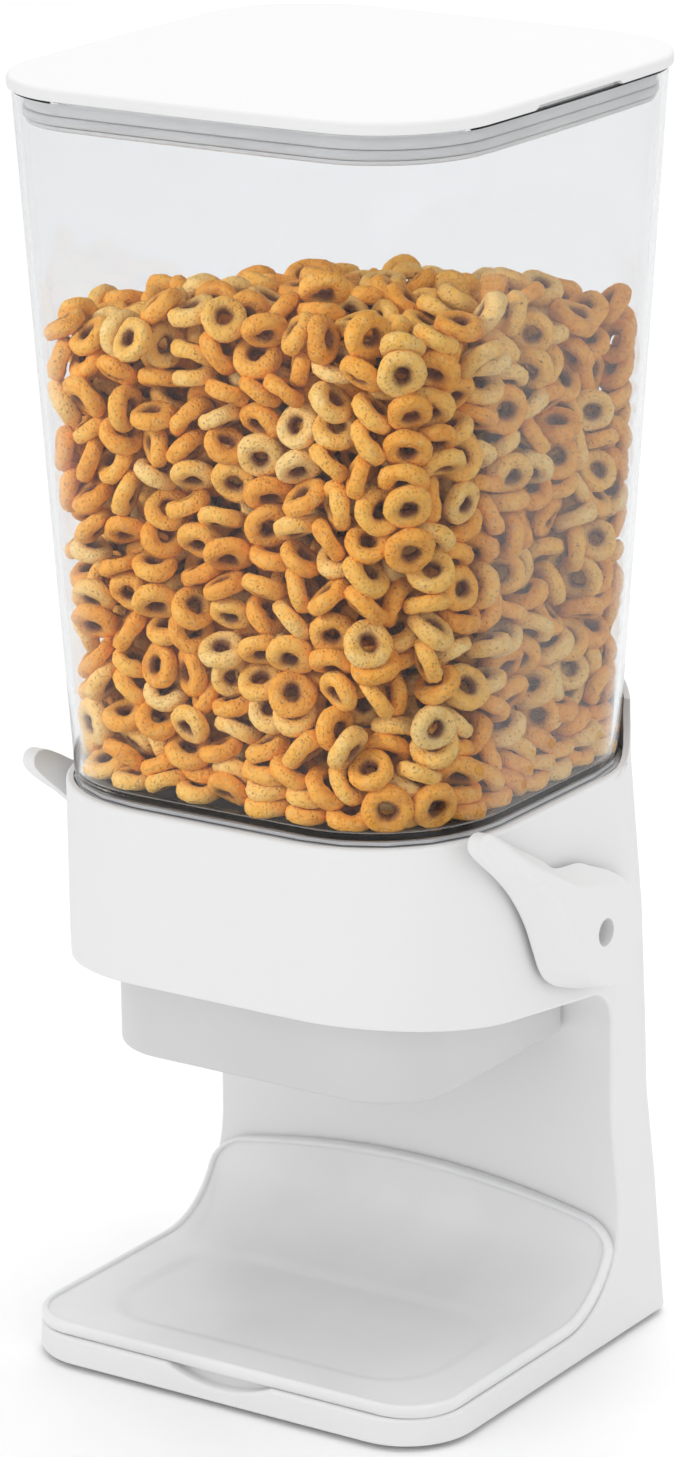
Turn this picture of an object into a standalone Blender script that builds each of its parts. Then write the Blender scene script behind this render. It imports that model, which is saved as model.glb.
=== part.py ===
# Gravity cereal dispenser on a one-piece stand: a clear hopper with a push-in lid, a swinging gate
# worked by a lever on each side, and a dished catch tray. Metres, +Z up, front towards -Y, and the
# origin on the table under the middle of the hopper.

import math

import bmesh
import bpy
from mathutils import Matrix, Vector

# Driving dimensions
GAP = 0.0003  # between pieces that touch
WALL = 0.0024  # moulded walls of the stand
CORNER_STEPS = 5
SIDE_STEPS = 4
FAR = 0.15  # outside every part, for cutters
PAST = 0.02  # how far a cutter runs past the face it cuts

FOOT_HEIGHT = 0.0018
FOOT_RADIUS = 0.0065
BASE_HALF_WIDTH = 0.084
BASE_FRONT = -0.085
BASE_REAR = 0.0685
BASE_FRONT_RADIUS = 0.025
BASE_REAR_RADIUS = 0.009
BASE_DECK = 0.0114  # top of the base under the tray
BASE_PLATE = 0.002
BASE_WAIST = 0.0043  # how much narrower the column is than the base, each side
SCOOP_HALF_WIDTH = 0.021  # finger scoop in the front edge, under the tray's lip
SCOOP_DROP = 0.0045
SCOOP_SET = 0.006
SCREW_RADIUS = 0.0014
SCREW_BORE = SCREW_RADIUS + GAP
SCREW_HEAD = 0.0032
SCREW_HEAD_HEIGHT = 0.0011
BOSS_RADIUS = 0.0038

COLUMN_FRONT = 0.0365
COLUMN_FRONT_TOP = COLUMN_FRONT - 0.0035
COLUMN_HALF_WIDTH = BASE_HALF_WIDTH - BASE_WAIST
COLUMN_RADIUS = 0.0015  # its front edges
DECK_FILLET = 0.035  # from the base up into the column
ARCH_FILLET = 0.014  # from the column up into the housing
LOWER_SPLIT = BASE_DECK + DECK_FILLET + 0.0036

HOUSING_HALF = 0.082
HOUSING_REAR = HOUSING_HALF + 0.0005
HOUSING_FRONT_RADIUS = 0.051
HOUSING_REAR_RADIUS = 0.055
REAR_ROUNDING = 1.3  # the rear corners grow rounder slowly at first
HOUSING_TOP = 0.2005
HOUSING_FRONT_BOTTOM = HOUSING_TOP - 0.0595
HOUSING_SLOPE = 0.1376  # fall of its underside towards the rear, per metre
UPPER_SPLIT = HOUSING_TOP - 0.0905  # where the column meets the housing
COLUMN_WAIST = (LOWER_SPLIT + UPPER_SPLIT) / 2
BACKREST_TOP = HOUSING_TOP + 0.0235
BACKREST_FRONT = HOUSING_HALF - 0.042
BACKREST_FILLET = 0.018
LEDGE_WIDTH = 0.0018
LEDGE_HEIGHT = 0.003

FUNNEL_WALL = 0.0018
FLANGE_THICK = 0.002  # of the funnel, on the housing's ledge
NECK_HALF_WIDTH = 0.045
NECK_FRONT_ANGLE = -50  # degrees from straight down, seen from the pivot, negative to the front
NECK_REAR_ANGLE = -8
SHOULDER = HOUSING_TOP - 0.0355  # where the funnel's steep cone ends
FUNNEL_CONE = 0.026  # height of its upper cone
NECK_TOP = HOUSING_TOP - 0.0605
NECK_BOTTOM = HOUSING_TOP - 0.0885

CHUTE_HALF = HOUSING_HALF - 0.019
CHUTE_REAR = COLUMN_FRONT_TOP - 2 * GAP
CHUTE_RADIUS = 0.025
CHUTE_WALL = 0.0022
CHUTE_BOTTOM = HOUSING_TOP - 0.092
CHUTE_TOP = HOUSING_TOP - 0.052
CHUTE_FLANGE_WIDTH = 0.0105
CHUTE_FLANGE_THICK = 0.002
CHUTE_LIP = 0.0008
POST_RADIUS = 0.0032
POST_BORE = 0.0015
POST_SCREW = POST_BORE - GAP

SIDES = (("left", -1), ("right", 1))
PIVOT_Y = 0.004
PIVOT_Z = HOUSING_TOP - 0.0435
GATE_RADIUS = 0.0385  # inner face of the flap
GATE_THICK = 0.0024
GATE_OVERLAP = 4  # degrees that the shut flap covers beyond the neck
ARM_THICK = 0.0026
GATE_BOSS_END = NECK_HALF_WIDTH + 0.015
AXLE_RADIUS = 0.003
HUB_BORE = AXLE_RADIUS + GAP
AXLE_BORE = 0.0016
BUSH_RADIUS = 0.0047
BUSH_FLANGE = 0.0068

LEVER_INNER = HOUSING_HALF + 0.0025
LEVER_THICK = 0.0115
RECESS_RADIUS = 0.0047
RECESS_DEPTH = 0.0058

GASKET_THICK = 0.0014
GASKET_INSET = 0.0004
HOPPER_BOTTOM = HOUSING_TOP + GASKET_THICK + 0.0004
HOPPER_TOP = HOPPER_BOTTOM + 0.2282
HOPPER_HALF_BOTTOM = HOUSING_HALF - 0.0035
HOPPER_HALF_TOP = HOPPER_HALF_BOTTOM + 0.0069
HOPPER_FRONT_RADIUS = 0.046  # at its bottom
HOPPER_REAR_RADIUS = 0.052
HOPPER_RADIUS_TOP = 0.0365
HOPPER_BOW = 0.0018  # how far each side swells at its top, and nothing at its bottom
LEAST_BOW = 0.00001  # so that every hopper ring has the same points
HOPPER_CLEARANCE = 0.0006  # all round it, inside the backrest
HOPPER_WALL = 0.0022
SPIGOT_HALF = HOUSING_HALF - 0.0085
SPIGOT_RADIUS = 0.046
SPIGOT_WALL = 0.0018
SPIGOT_DEPTH = 0.0088

LID_HALF = HOPPER_HALF_TOP + 0.0008
LID_BOW = 0.0022
LID_RADIUS = 0.036
LID_THICK = 0.0042
PLUG_DEPTH = 0.0098
PLUG_WALL = 0.002
PLUG_CLEARANCE = 0.0014
SEAL_HEIGHT = 0.0036
SEAL_REACH = 0.0009
GROOVE_DEPTH = 0.001
NOTCH_HALF = 0.010  # finger notch under the lid's right side
NOTCH_DEPTH = 0.0035

TRAY_HALF_WIDTH = BASE_HALF_WIDTH - 0.0022
TRAY_FRONT = BASE_FRONT + 0.0018
TRAY_RADIUS = 0.0195
TRAY_FLOOR = 0.0014
TRAY_SHELF = 0.0030  # thickness under the flat border round its dish
TRAY_RIM = 0.0044
TRAY_LIP_WIDTH = 0.0022
TRAY_BORDER = 0.013  # width of the border inside the lip
TRAY_DISH_RADIUS = 0.022
TRAY_SLOPE = 0.003  # width of the dish's sloping side
TRAY_BACK = BASE_DECK + 0.0386  # top of the rear lip at the middle
TRAY_BACK_DROP = 0.0105  # how much lower it is at the sides


def clear_scene():
    for obj in list(bpy.data.objects):
        bpy.data.objects.remove(obj, do_unlink=True)


def make_collection(name, hidden=False):
    group = bpy.data.collections.new(name)
    bpy.context.scene.collection.children.link(group)
    group.hide_render = hidden
    return group


def plastic(name, colour, roughness, metallic=0.0, transmission=0.0):
    made = bpy.data.materials.new(name)
    made.use_nodes = True
    shader = made.node_tree.nodes["Principled BSDF"]
    shader.inputs["Base Color"].default_value = (*colour, 1.0)
    shader.inputs["Roughness"].default_value = roughness
    shader.inputs["Metallic"].default_value = metallic
    shader.inputs["Transmission Weight"].default_value = transmission
    made.diffuse_color = (*colour, 1.0)
    return made


def add_object(name, bm, group, look=None, smooth=True):
    bmesh.ops.recalc_face_normals(bm, faces=bm.faces[:])
    mesh = bpy.data.meshes.new(name)
    bm.to_mesh(mesh)
    bm.free()
    if smooth:
        mesh.shade_smooth()
        mesh.set_sharp_from_angle(angle=math.radians(35))
    obj = bpy.data.objects.new(name, mesh)
    group.objects.link(obj)
    if look:
        mesh.materials.append(look)
    else:
        obj.hide_render = True
        obj.display_type = "WIRE"
    return obj


def outline(half_x, front, rear, front_radius, rear_radius, bow=0.0):
    """A rounded rectangle, counterclockwise from its front right corner, with swelling sides."""
    corners = (
        (half_x - front_radius, front + front_radius, front_radius, -90),
        (half_x - rear_radius, rear - rear_radius, rear_radius, 0),
        (rear_radius - half_x, rear - rear_radius, rear_radius, 90),
        (front_radius - half_x, front + front_radius, front_radius, 180),
    )
    points = []
    for x, y, radius, start in corners:
        for step in range(CORNER_STEPS + 1):
            turn = math.radians(start + 90 * step / CORNER_STEPS)
            points.append(Vector((x + radius * math.cos(turn), y + radius * math.sin(turn))))
    if bow:
        points = with_side_points(points)
    middle_y = (front + rear) / 2
    half_y = (rear - front) / 2
    return [
        Vector((
            p.x + math.copysign(bow, p.x) * (1 - ((p.y - middle_y) / half_y) ** 2),
            p.y + math.copysign(bow, p.y - middle_y) * (1 - (p.x / half_x) ** 2),
        ))
        for p in points
    ]


def with_side_points(points):
    """Adds points along the straight stretch after each corner, so that it can swell."""
    filled = []
    for i, point in enumerate(points):
        filled.append(point)
        if i % (CORNER_STEPS + 1) == CORNER_STEPS:
            after = points[(i + 1) % len(points)]
            filled += [point.lerp(after, k / SIDE_STEPS) for k in range(1, SIDE_STEPS)]
    return filled


def square(half, radius, bow=0.0):
    return outline(half, -half, half, radius, radius, bow)


def level(points, z):
    return [Vector((p.x, p.y, z)) for p in points]


def loft(name, rings, group, look=None):
    """A closed skin through rings of as many points each, capped at both ends."""
    bm = bmesh.new()
    rows = [[bm.verts.new(point) for point in ring] for ring in rings]
    count = len(rows[0])
    for low, high in zip(rows, rows[1:]):
        for i in range(count):
            j = (i + 1) % count
            bm.faces.new((low[i], low[j], high[j], high[i]))
    bm.faces.new(rows[0][::-1])
    bm.faces.new(rows[-1])
    return add_object(name, bm, group, look)


def side_prism(name, profile, half_width, group, look=None):
    """A (y, z) outline drawn out across the width."""
    return loft(
        name,
        [[Vector((x, y, z)) for y, z in profile] for x in (-half_width, half_width)],
        group,
        look,
    )


def arc(centre, radius, start, end, steps):
    return [
        (
            centre[0] + radius * math.cos(math.radians(start + (end - start) * i / steps)),
            centre[1] + radius * math.sin(math.radians(start + (end - start) * i / steps)),
        )
        for i in range(steps + 1)
    ]


def turned(name, profile, axis, origin, group, look=None, steps=24):
    """A closed (radius, height) profile turned about an axis through origin."""
    bm = bmesh.new()
    points = [bm.verts.new((radius, 0, height)) for radius, height in profile]
    for first, second in zip(points, points[1:]):
        bm.edges.new((first, second))
    mesh = bpy.data.meshes.new(name)
    bm.to_mesh(mesh)
    bm.free()
    obj = bpy.data.objects.new(name, mesh)
    group.objects.link(obj)
    screw = obj.modifiers.new("Turn", "SCREW")
    screw.steps = steps
    screw.render_steps = steps
    screw.use_merge_vertices = True
    screw.merge_threshold = 0.00001
    screw.use_smooth_shade = True
    obj.location = origin
    obj.rotation_mode = "QUATERNION"
    obj.rotation_quaternion = Vector((0, 0, 1)).rotation_difference(Vector(axis))
    if look:
        mesh.materials.append(look)
    else:
        obj.hide_render = True
        obj.display_type = "WIRE"
    return obj


def rod(name, radius, start, end, axis, origin, group, look=None, steps=24):
    """A plain cylinder between two stations along an axis."""
    profile = [(0, end), (radius, end), (radius, start), (0, start)]
    return turned(name, profile, axis, origin, group, look, steps)


def boolean(obj, other, operation="DIFFERENCE"):
    made = obj.modifiers.new(operation.title() + "_" + other.name, "BOOLEAN")
    made.operation = operation
    made.solver = "EXACT"
    made.object = other


def share(low, high, z):
    return min(1.0, max(0.0, (z - low) / (high - low)))


def mix(a, b, amount):
    return a + (b - a) * amount


def stand_plan(z, front, front_radius, inset=0.0):
    """Plan of the stand at one height: its rear corners grow rounder as they rise."""
    up = share(0, HOUSING_TOP, z)
    if z < COLUMN_WAIST:
        half = mix(BASE_HALF_WIDTH, COLUMN_HALF_WIDTH, share(0, COLUMN_WAIST, z))
    else:
        half = mix(COLUMN_HALF_WIDTH, HOUSING_HALF, share(COLUMN_WAIST, HOUSING_FRONT_BOTTOM, z))
    rear = mix(BASE_REAR, HOUSING_REAR, up)
    rear_radius = mix(BASE_REAR_RADIUS, HOUSING_REAR_RADIUS, up ** REAR_ROUNDING)
    return outline(
        half - inset,
        front + inset,
        rear - inset,
        max(front_radius - inset, 0.0008),
        max(rear_radius - inset, 0.0008),
    )


def stand_rings(heights, front, front_radius, inset=0.0):
    return [level(stand_plan(z, front, front_radius, inset), z) for z in heights]


def column_front(z):
    return mix(COLUMN_FRONT, COLUMN_FRONT_TOP, share(LOWER_SPLIT, UPPER_SPLIT, z))


def housing_underside(y):
    return HOUSING_FRONT_BOTTOM - HOUSING_SLOPE * (y + HOUSING_HALF)


def corner_places(half_x, front, rear):
    return [(-half_x, front), (half_x, front), (-half_x, rear), (half_x, rear)]


def build_base(parts, cutters, looks):
    bottom = FOOT_HEIGHT
    base = loft(
        "base_shell",
        stand_rings((bottom, bottom + 0.003, BASE_DECK, LOWER_SPLIT), BASE_FRONT, BASE_FRONT_RADIUS),
        parts,
        looks["white"],
    )

    def side(inset, low):
        centre = (COLUMN_FRONT - DECK_FILLET, BASE_DECK + DECK_FILLET)
        curve = arc(centre, DECK_FILLET + inset, -90, 0, 7)
        return [(-FAR, low), (-FAR, BASE_DECK - inset), *curve, (COLUMN_FRONT + inset, LOWER_SPLIT + PAST),
                (FAR, LOWER_SPLIT + PAST), (FAR, low)]

    boolean(base, side_prism("base_side", side(0, 0), FAR, cutters), "INTERSECT")
    hollow = loft(
        "base_hollow",
        stand_rings((-PAST, 0, BASE_DECK, LOWER_SPLIT + PAST / 2), BASE_FRONT, BASE_FRONT_RADIUS, WALL),
        cutters,
    )
    boolean(hollow, side_prism("base_hollow_side", side(WALL, -PAST), FAR, cutters), "INTERSECT")
    boolean(hollow, scoop_cut("scoop_back", WALL - GAP, cutters))
    boolean(base, hollow)
    boss_bottom = bottom + BASE_PLATE + GAP
    for i, (x, y) in enumerate(screw_places(), 1):
        boss = rod(f"base_boss_{i}", BOSS_RADIUS, boss_bottom, BASE_DECK - WALL / 2, (0, 0, 1), (x, y, 0),
                   cutters, steps=16)
        boolean(base, boss, "UNION")
        bore = rod(f"base_bore_{i}", SCREW_BORE, 0, BASE_DECK - WALL, (0, 0, 1), (x, y, 0), cutters, steps=16)
        boolean(base, bore)
    boolean(base, scoop_cut("finger_scoop", 0, cutters))

    plate = loft(
        "base_plate",
        stand_rings((bottom, bottom + BASE_PLATE), BASE_FRONT, BASE_FRONT_RADIUS, WALL + GAP),
        parts,
        looks["white"],
    )
    tip = BASE_DECK - WALL - GAP
    seat = bottom - GAP
    profile = [(0, tip), (SCREW_RADIUS, tip), (SCREW_RADIUS, seat), (SCREW_HEAD, seat),
               (SCREW_HEAD, seat - SCREW_HEAD_HEIGHT), (0, seat - SCREW_HEAD_HEIGHT)]
    for i, (x, y) in enumerate(screw_places(), 1):
        boolean(plate, rod(f"plate_hole_{i}", SCREW_BORE, 0, PAST, (0, 0, 1), (x, y, 0), cutters, steps=16))
        turned(f"base_screw_{i}", profile, (0, 0, 1), (x, y, 0), parts, looks["steel"], steps=12)
    feet = corner_places(BASE_HALF_WIDTH - 0.018, BASE_FRONT + 0.020, BASE_REAR - 0.016)
    for i, (x, y) in enumerate(feet, 1):
        profile = [(0, FOOT_HEIGHT - GAP), (FOOT_RADIUS, FOOT_HEIGHT - GAP), (FOOT_RADIUS, 0.0005),
                   (FOOT_RADIUS - 0.0005, 0), (0, 0)]
        turned(f"foot_{i}", profile, (0, 0, 1), (x, y, 0), parts, looks["rubber"])


def scoop_cut(name, extra, group):
    radius = (SCOOP_HALF_WIDTH ** 2 + SCOOP_DROP ** 2) / (2 * SCOOP_DROP)
    centre = (0, BASE_FRONT, BASE_DECK - SCOOP_DROP + radius)
    return rod(name, radius + extra, -SCOOP_SET - extra, PAST, (0, -1, 0), centre, group, steps=96)


def screw_places():
    return corner_places(BASE_HALF_WIDTH - 0.034, BASE_FRONT + 0.030, COLUMN_FRONT - DECK_FILLET - 0.006)


def build_column(parts, cutters, looks):
    heights = (LOWER_SPLIT + GAP, COLUMN_WAIST, UPPER_SPLIT - GAP)

    def rings(stations, inset):
        return [level(stand_plan(z, column_front(z), COLUMN_RADIUS, inset), z) for z in stations]

    column = loft("column_shell", rings(heights, 0), parts, looks["white"])
    hollow = loft("column_hollow", rings((heights[0] - PAST, COLUMN_WAIST, heights[-1] + PAST), WALL), cutters)
    boolean(column, hollow)


def build_housing(parts, cutters, looks):
    heights = (UPPER_SPLIT, HOUSING_FRONT_BOTTOM, HOUSING_TOP, BACKREST_TOP)
    housing = loft("housing_shell", stand_rings(heights, -HOUSING_HALF, HOUSING_FRONT_RADIUS),
                   parts, looks["white"])
    arch_y = COLUMN_FRONT_TOP - ARCH_FILLET
    arch_z = housing_underside(arch_y)
    side = [
        (-FAR, housing_underside(-FAR)),
        *arc((arch_y, arch_z - ARCH_FILLET), ARCH_FILLET, 90, 0, 6),
        (COLUMN_FRONT_TOP, UPPER_SPLIT - PAST), (FAR, UPPER_SPLIT - PAST), (FAR, BACKREST_TOP + PAST),
        (BACKREST_FRONT + 0.030, BACKREST_TOP + PAST), (BACKREST_FRONT + 0.026, BACKREST_TOP - 0.004),
        *arc((BACKREST_FRONT, HOUSING_TOP + BACKREST_FILLET), BACKREST_FILLET, 0, -90, 4), (-FAR, HOUSING_TOP),
    ]
    boolean(housing, side_prism("housing_side", side, FAR, cutters), "INTERSECT")

    ledge_top = HOUSING_TOP - FLANGE_THICK - GAP
    ledge_low = ledge_top - LEDGE_HEIGHT
    stations = [(UPPER_SPLIT, WALL), (HOUSING_FRONT_BOTTOM, WALL), (ledge_low, WALL),
                (ledge_low, WALL + LEDGE_WIDTH), (ledge_top, WALL + LEDGE_WIDTH), (ledge_top, WALL),
                (BACKREST_TOP + PAST / 2, WALL)]
    rings = [level(stand_plan(z, -HOUSING_HALF, HOUSING_FRONT_RADIUS, inset), z) for z, inset in stations]
    room = loft("housing_room", rings, cutters)
    floor = [
        (-FAR, housing_underside(-FAR) + WALL), (arch_y, arch_z + WALL), (FAR, arch_z + WALL),
        (FAR, BACKREST_TOP + PAST), (-FAR, BACKREST_TOP + PAST),
    ]
    boolean(room, side_prism("housing_floor", floor, FAR, cutters), "INTERSECT")
    boolean(housing, room)
    path = [hopper_ring(z, -HOPPER_CLEARANCE) for z in (HOUSING_TOP, HOPPER_TOP)]
    boolean(housing, loft("hopper_way", path, cutters))
    below = stand_rings((UPPER_SPLIT - PAST, arch_z - 0.0005), COLUMN_FRONT_TOP, COLUMN_RADIUS, WALL)
    boolean(housing, loft("housing_below", below, cutters))
    hole = chute_plan(-GAP)
    boolean(housing, loft("chute_hole", [level(hole, CHUTE_BOTTOM), level(hole, CHUTE_TOP + PAST)], cutters))
    post_top = CHUTE_TOP - CHUTE_FLANGE_THICK - GAP
    for i, (x, y) in enumerate(post_places(), 1):
        foot = (housing_underside(y) if y < 0 else arch_z) + WALL / 2
        post = rod(f"post_{i}", POST_RADIUS, foot, post_top, (0, 0, 1), (x, y, 0), cutters, steps=16)
        boolean(housing, post, "UNION")
        bore = rod(f"post_bore_{i}", POST_BORE, foot + WALL, post_top + PAST, (0, 0, 1), (x, y, 0), cutters,
                   steps=16)
        boolean(housing, bore)
    for side_name, side_way in SIDES:
        wall_hole = rod(f"bush_hole_{side_name}", BUSH_RADIUS + GAP, HOUSING_HALF - 0.012, HOUSING_HALF + PAST,
                        (side_way, 0, 0), (0, PIVOT_Y, PIVOT_Z), cutters)
        boolean(housing, wall_hole)


def post_places():
    return corner_places(CHUTE_HALF + 0.0060, 0.027 - CHUTE_HALF, 0.022)


def chute_plan(inset):
    return outline(CHUTE_HALF - inset, inset - CHUTE_HALF, CHUTE_REAR - inset, CHUTE_RADIUS - inset,
                   0.0042 - inset)


def build_chute(parts, cutters, looks):
    flange = CHUTE_HALF + CHUTE_FLANGE_WIDTH
    wall = chute_plan(0)
    plate = outline(flange, -CHUTE_HALF - 0.002, CHUTE_REAR + 0.002, CHUTE_RADIUS, 0.003)
    flange_low = CHUTE_TOP - CHUTE_FLANGE_THICK
    lip = chute_plan(CHUTE_LIP)
    chute = loft("discharge_chute", [level(lip, CHUTE_BOTTOM), level(wall, CHUTE_BOTTOM + CHUTE_LIP),
                                     level(wall, flange_low), level(plate, flange_low),
                                     level(plate, CHUTE_TOP)], parts, looks["white"])
    bore = chute_plan(CHUTE_WALL)
    bore_rings = [level(bore, CHUTE_BOTTOM - PAST), level(bore, CHUTE_TOP + PAST)]
    boolean(chute, loft("chute_bore", bore_rings, cutters))
    head = CHUTE_TOP + GAP
    profile = [(0, head + 0.0016), (0.0026, head + 0.0016), (0.0028, head), (POST_SCREW, head),
               (POST_SCREW, head - 0.0055), (0, head - 0.0055)]
    for i, (x, y) in enumerate(post_places(), 1):
        hole = rod(f"flange_hole_{i}", POST_BORE, flange_low - PAST, CHUTE_TOP + PAST, (0, 0, 1), (x, y, 0),
                   cutters, steps=16)
        boolean(chute, hole)
        turned(f"chute_screw_{i}", profile, (0, 0, 1), (x, y, 0), parts, looks["steel"], steps=12)


def hang_from_pivot(obj):
    """Moves the object's origin onto the axis that it turns about."""
    place = Vector((0, PIVOT_Y, PIVOT_Z))
    obj.data.transform(Matrix.Translation(-place))
    obj.location = place


def below_pivot(radius, angle):
    """The y at this angle from straight down, negative towards the front."""
    return PIVOT_Y + radius * math.sin(math.radians(angle))


def build_funnel(parts, cutters, looks):
    top = HOUSING_TOP - GAP
    low = top - FLANGE_THICK + GAP
    throat = SPIGOT_HALF + 0.001
    radius = SPIGOT_RADIUS + 0.001
    flange = level(stand_plan(top, -HOUSING_HALF, HOUSING_FRONT_RADIUS, WALL + GAP), top)
    flange_low = [Vector((p.x, p.y, low)) for p in flange]

    def body(extra, top_z, bottom_z):
        neck = outline(
            NECK_HALF_WIDTH + extra,
            below_pivot(GATE_RADIUS, NECK_FRONT_ANGLE) - extra,
            below_pivot(GATE_RADIUS, NECK_REAR_ANGLE) + extra,
            0.004 + extra,
            0.004 + extra,
        )
        return [
            level(neck, bottom_z),
            level(neck, NECK_TOP),
            level(square(NECK_HALF_WIDTH + extra, 0.016 + extra), SHOULDER),
            level(square(throat + extra, radius + extra), SHOULDER + FUNNEL_CONE),
            level(square(throat + extra, radius + extra), top_z),
        ]

    rings = [*body(FUNNEL_WALL, low, NECK_BOTTOM), flange_low, flange]
    funnel = loft("hopper_funnel", rings, parts, looks["white"])
    boolean(funnel, loft("funnel_bore", body(0, top + PAST, NECK_BOTTOM - PAST / 2), cutters))
    sweep = rod("gate_path", GATE_RADIUS - 0.0008, -FAR / 2, FAR / 2, (1, 0, 0), (0, PIVOT_Y, PIVOT_Z), cutters,
                steps=96)
    keep = loft("neck_keep", [level(square(FAR, 0.01), z) for z in (PIVOT_Z, HOUSING_TOP + PAST)], cutters)
    boolean(keep, sweep, "UNION")
    boolean(funnel, keep, "INTERSECT")


def build_gate(parts, cutters, looks):
    inner, outer = GATE_RADIUS, GATE_RADIUS + GATE_THICK
    pivot = (PIVOT_Y, PIVOT_Z)
    arm_x = NECK_HALF_WIDTH + FUNNEL_WALL + 0.001
    front_edge = -90 + NECK_FRONT_ANGLE - GATE_OVERLAP
    rear_edge = -90 + NECK_REAR_ANGLE + GATE_OVERLAP
    sector = [
        *arc(pivot, outer, front_edge, rear_edge, 8),
        *arc(pivot, 0.0062, rear_edge + 88, front_edge + 360 - 88, 6),
    ]
    gate = side_prism("gate_flap", sector, arm_x + ARM_THICK, parts, looks["frosted"])
    middle = [
        (PIVOT_Y - 0.06, PIVOT_Z + 0.02), (PIVOT_Y - 0.06, PIVOT_Z - 0.06),
        (PIVOT_Y + 0.06, PIVOT_Z - 0.06), (PIVOT_Y + 0.06, PIVOT_Z + 0.02),
    ]
    space = side_prism("gate_space", middle, arm_x, cutters)
    keep = rod("gate_inside", inner, -0.07, 0.07, (1, 0, 0), (0, *pivot), cutters, steps=96)
    boolean(space, keep, "INTERSECT")
    boolean(gate, space)
    for side_name, way in SIDES:
        boss = rod(f"gate_boss_{side_name}", 0.0056, arm_x + 0.001, GATE_BOSS_END, (way, 0, 0), (0, *pivot),
                   cutters, steps=20)
        boolean(gate, boss, "UNION")
        bore = rod(f"gate_bore_{side_name}", HUB_BORE, arm_x - PAST / 4, GATE_BOSS_END + PAST, (way, 0, 0),
                   (0, *pivot), cutters)
        boolean(gate, bore)
    hang_from_pivot(gate)

    clear = math.degrees(2 * GAP / outer)
    tip = clear + math.degrees(0.0022 / outer)
    seal = [
        *arc(pivot, outer, front_edge - tip, front_edge - clear, 1),
        *arc(pivot, inner, front_edge - clear, front_edge - tip, 1),
    ]
    hang_from_pivot(side_prism("gate_seal", seal, arm_x - GAP, parts, looks["silicone"]))

    for side_name, way in SIDES:
        origin = (0, *pivot)
        end = LEVER_INNER + LEVER_THICK - RECESS_DEPTH - GAP
        start = arm_x + ARM_THICK / 2
        profile = [(AXLE_BORE, end), (AXLE_RADIUS - 0.0003, end), (AXLE_RADIUS, end - 0.0003),
                   (AXLE_RADIUS, start), (0, start), (0, end - 0.008), (AXLE_BORE, end - 0.008),
                   (AXLE_BORE, end)]
        turned(f"axle_{side_name}", profile, (way, 0, 0), origin, parts, looks["steel"])
        bush_inner = HOUSING_HALF - WALL - GAP
        bush_outer = LEVER_INNER - 2 * GAP
        flange_end = bush_inner - 0.0014
        profile = [(HUB_BORE, bush_outer), (BUSH_RADIUS, bush_outer), (BUSH_RADIUS, bush_inner),
                   (BUSH_FLANGE, bush_inner), (BUSH_FLANGE, flange_end), (HUB_BORE, flange_end),
                   (HUB_BORE, bush_outer)]
        turned(f"axle_bush_{side_name}", profile, (way, 0, 0), origin, parts, looks["nylon"])
        head = end + GAP
        profile = [(0, head + 0.0018), (0.0028, head + 0.0018), (0.0036, head + 0.0008), (0.0036, head),
                   (AXLE_BORE - GAP, head), (AXLE_BORE - GAP, head - 0.0075), (0, head - 0.0075)]
        turned(f"lever_screw_{side_name}", profile, (way, 0, 0), origin, parts, looks["steel"])
        build_spring(f"return_spring_{side_name}", way, parts, looks)


def build_spring(name, way, parts, looks):
    """A torsion spring round the axle, from the gate's boss to the housing wall."""
    radius, wire, turns = 0.0053, 0.0005, 4
    first, last = GATE_BOSS_END + 0.0022, HOUSING_HALF - 0.0075
    points = [Vector((first, radius, -0.0060))]
    for step in range(turns * 10 + 1):
        turn = 2 * math.pi * step / 10
        points.append(Vector((mix(first, last, step / (turns * 10)),
                              radius * math.cos(turn), radius * math.sin(turn))))
    points.append(Vector((last, radius, 0.016)))
    curve = bpy.data.curves.new(name, "CURVE")
    curve.dimensions = "3D"
    curve.bevel_depth = wire
    curve.bevel_resolution = 1
    curve.use_fill_caps = True
    spline = curve.splines.new("POLY")
    spline.points.add(len(points) - 1)
    for slot, point in zip(spline.points, points):
        slot.co = (point.x * way, point.y, point.z, 1)
    obj = bpy.data.objects.new(name, curve)
    obj.location = (0, PIVOT_Y, PIVOT_Z)
    parts.objects.link(obj)
    curve.materials.append(looks["steel"])
    return obj


def smooth_loop(corners, steps=3):
    """A closed curve through every corner (Catmull-Rom)."""
    count = len(corners)
    points = []
    for i in range(count):
        a, b, c, d = (Vector(corners[(i + k) % count]) for k in (-1, 0, 1, 2))
        for step in range(steps):
            t = step / steps
            points.append(0.5 * (2 * b + (c - a) * t + (2 * a - 5 * b + 4 * c - d) * t ** 2
                                 + (3 * b - a - 3 * c + d) * t ** 3))
    return points


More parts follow.
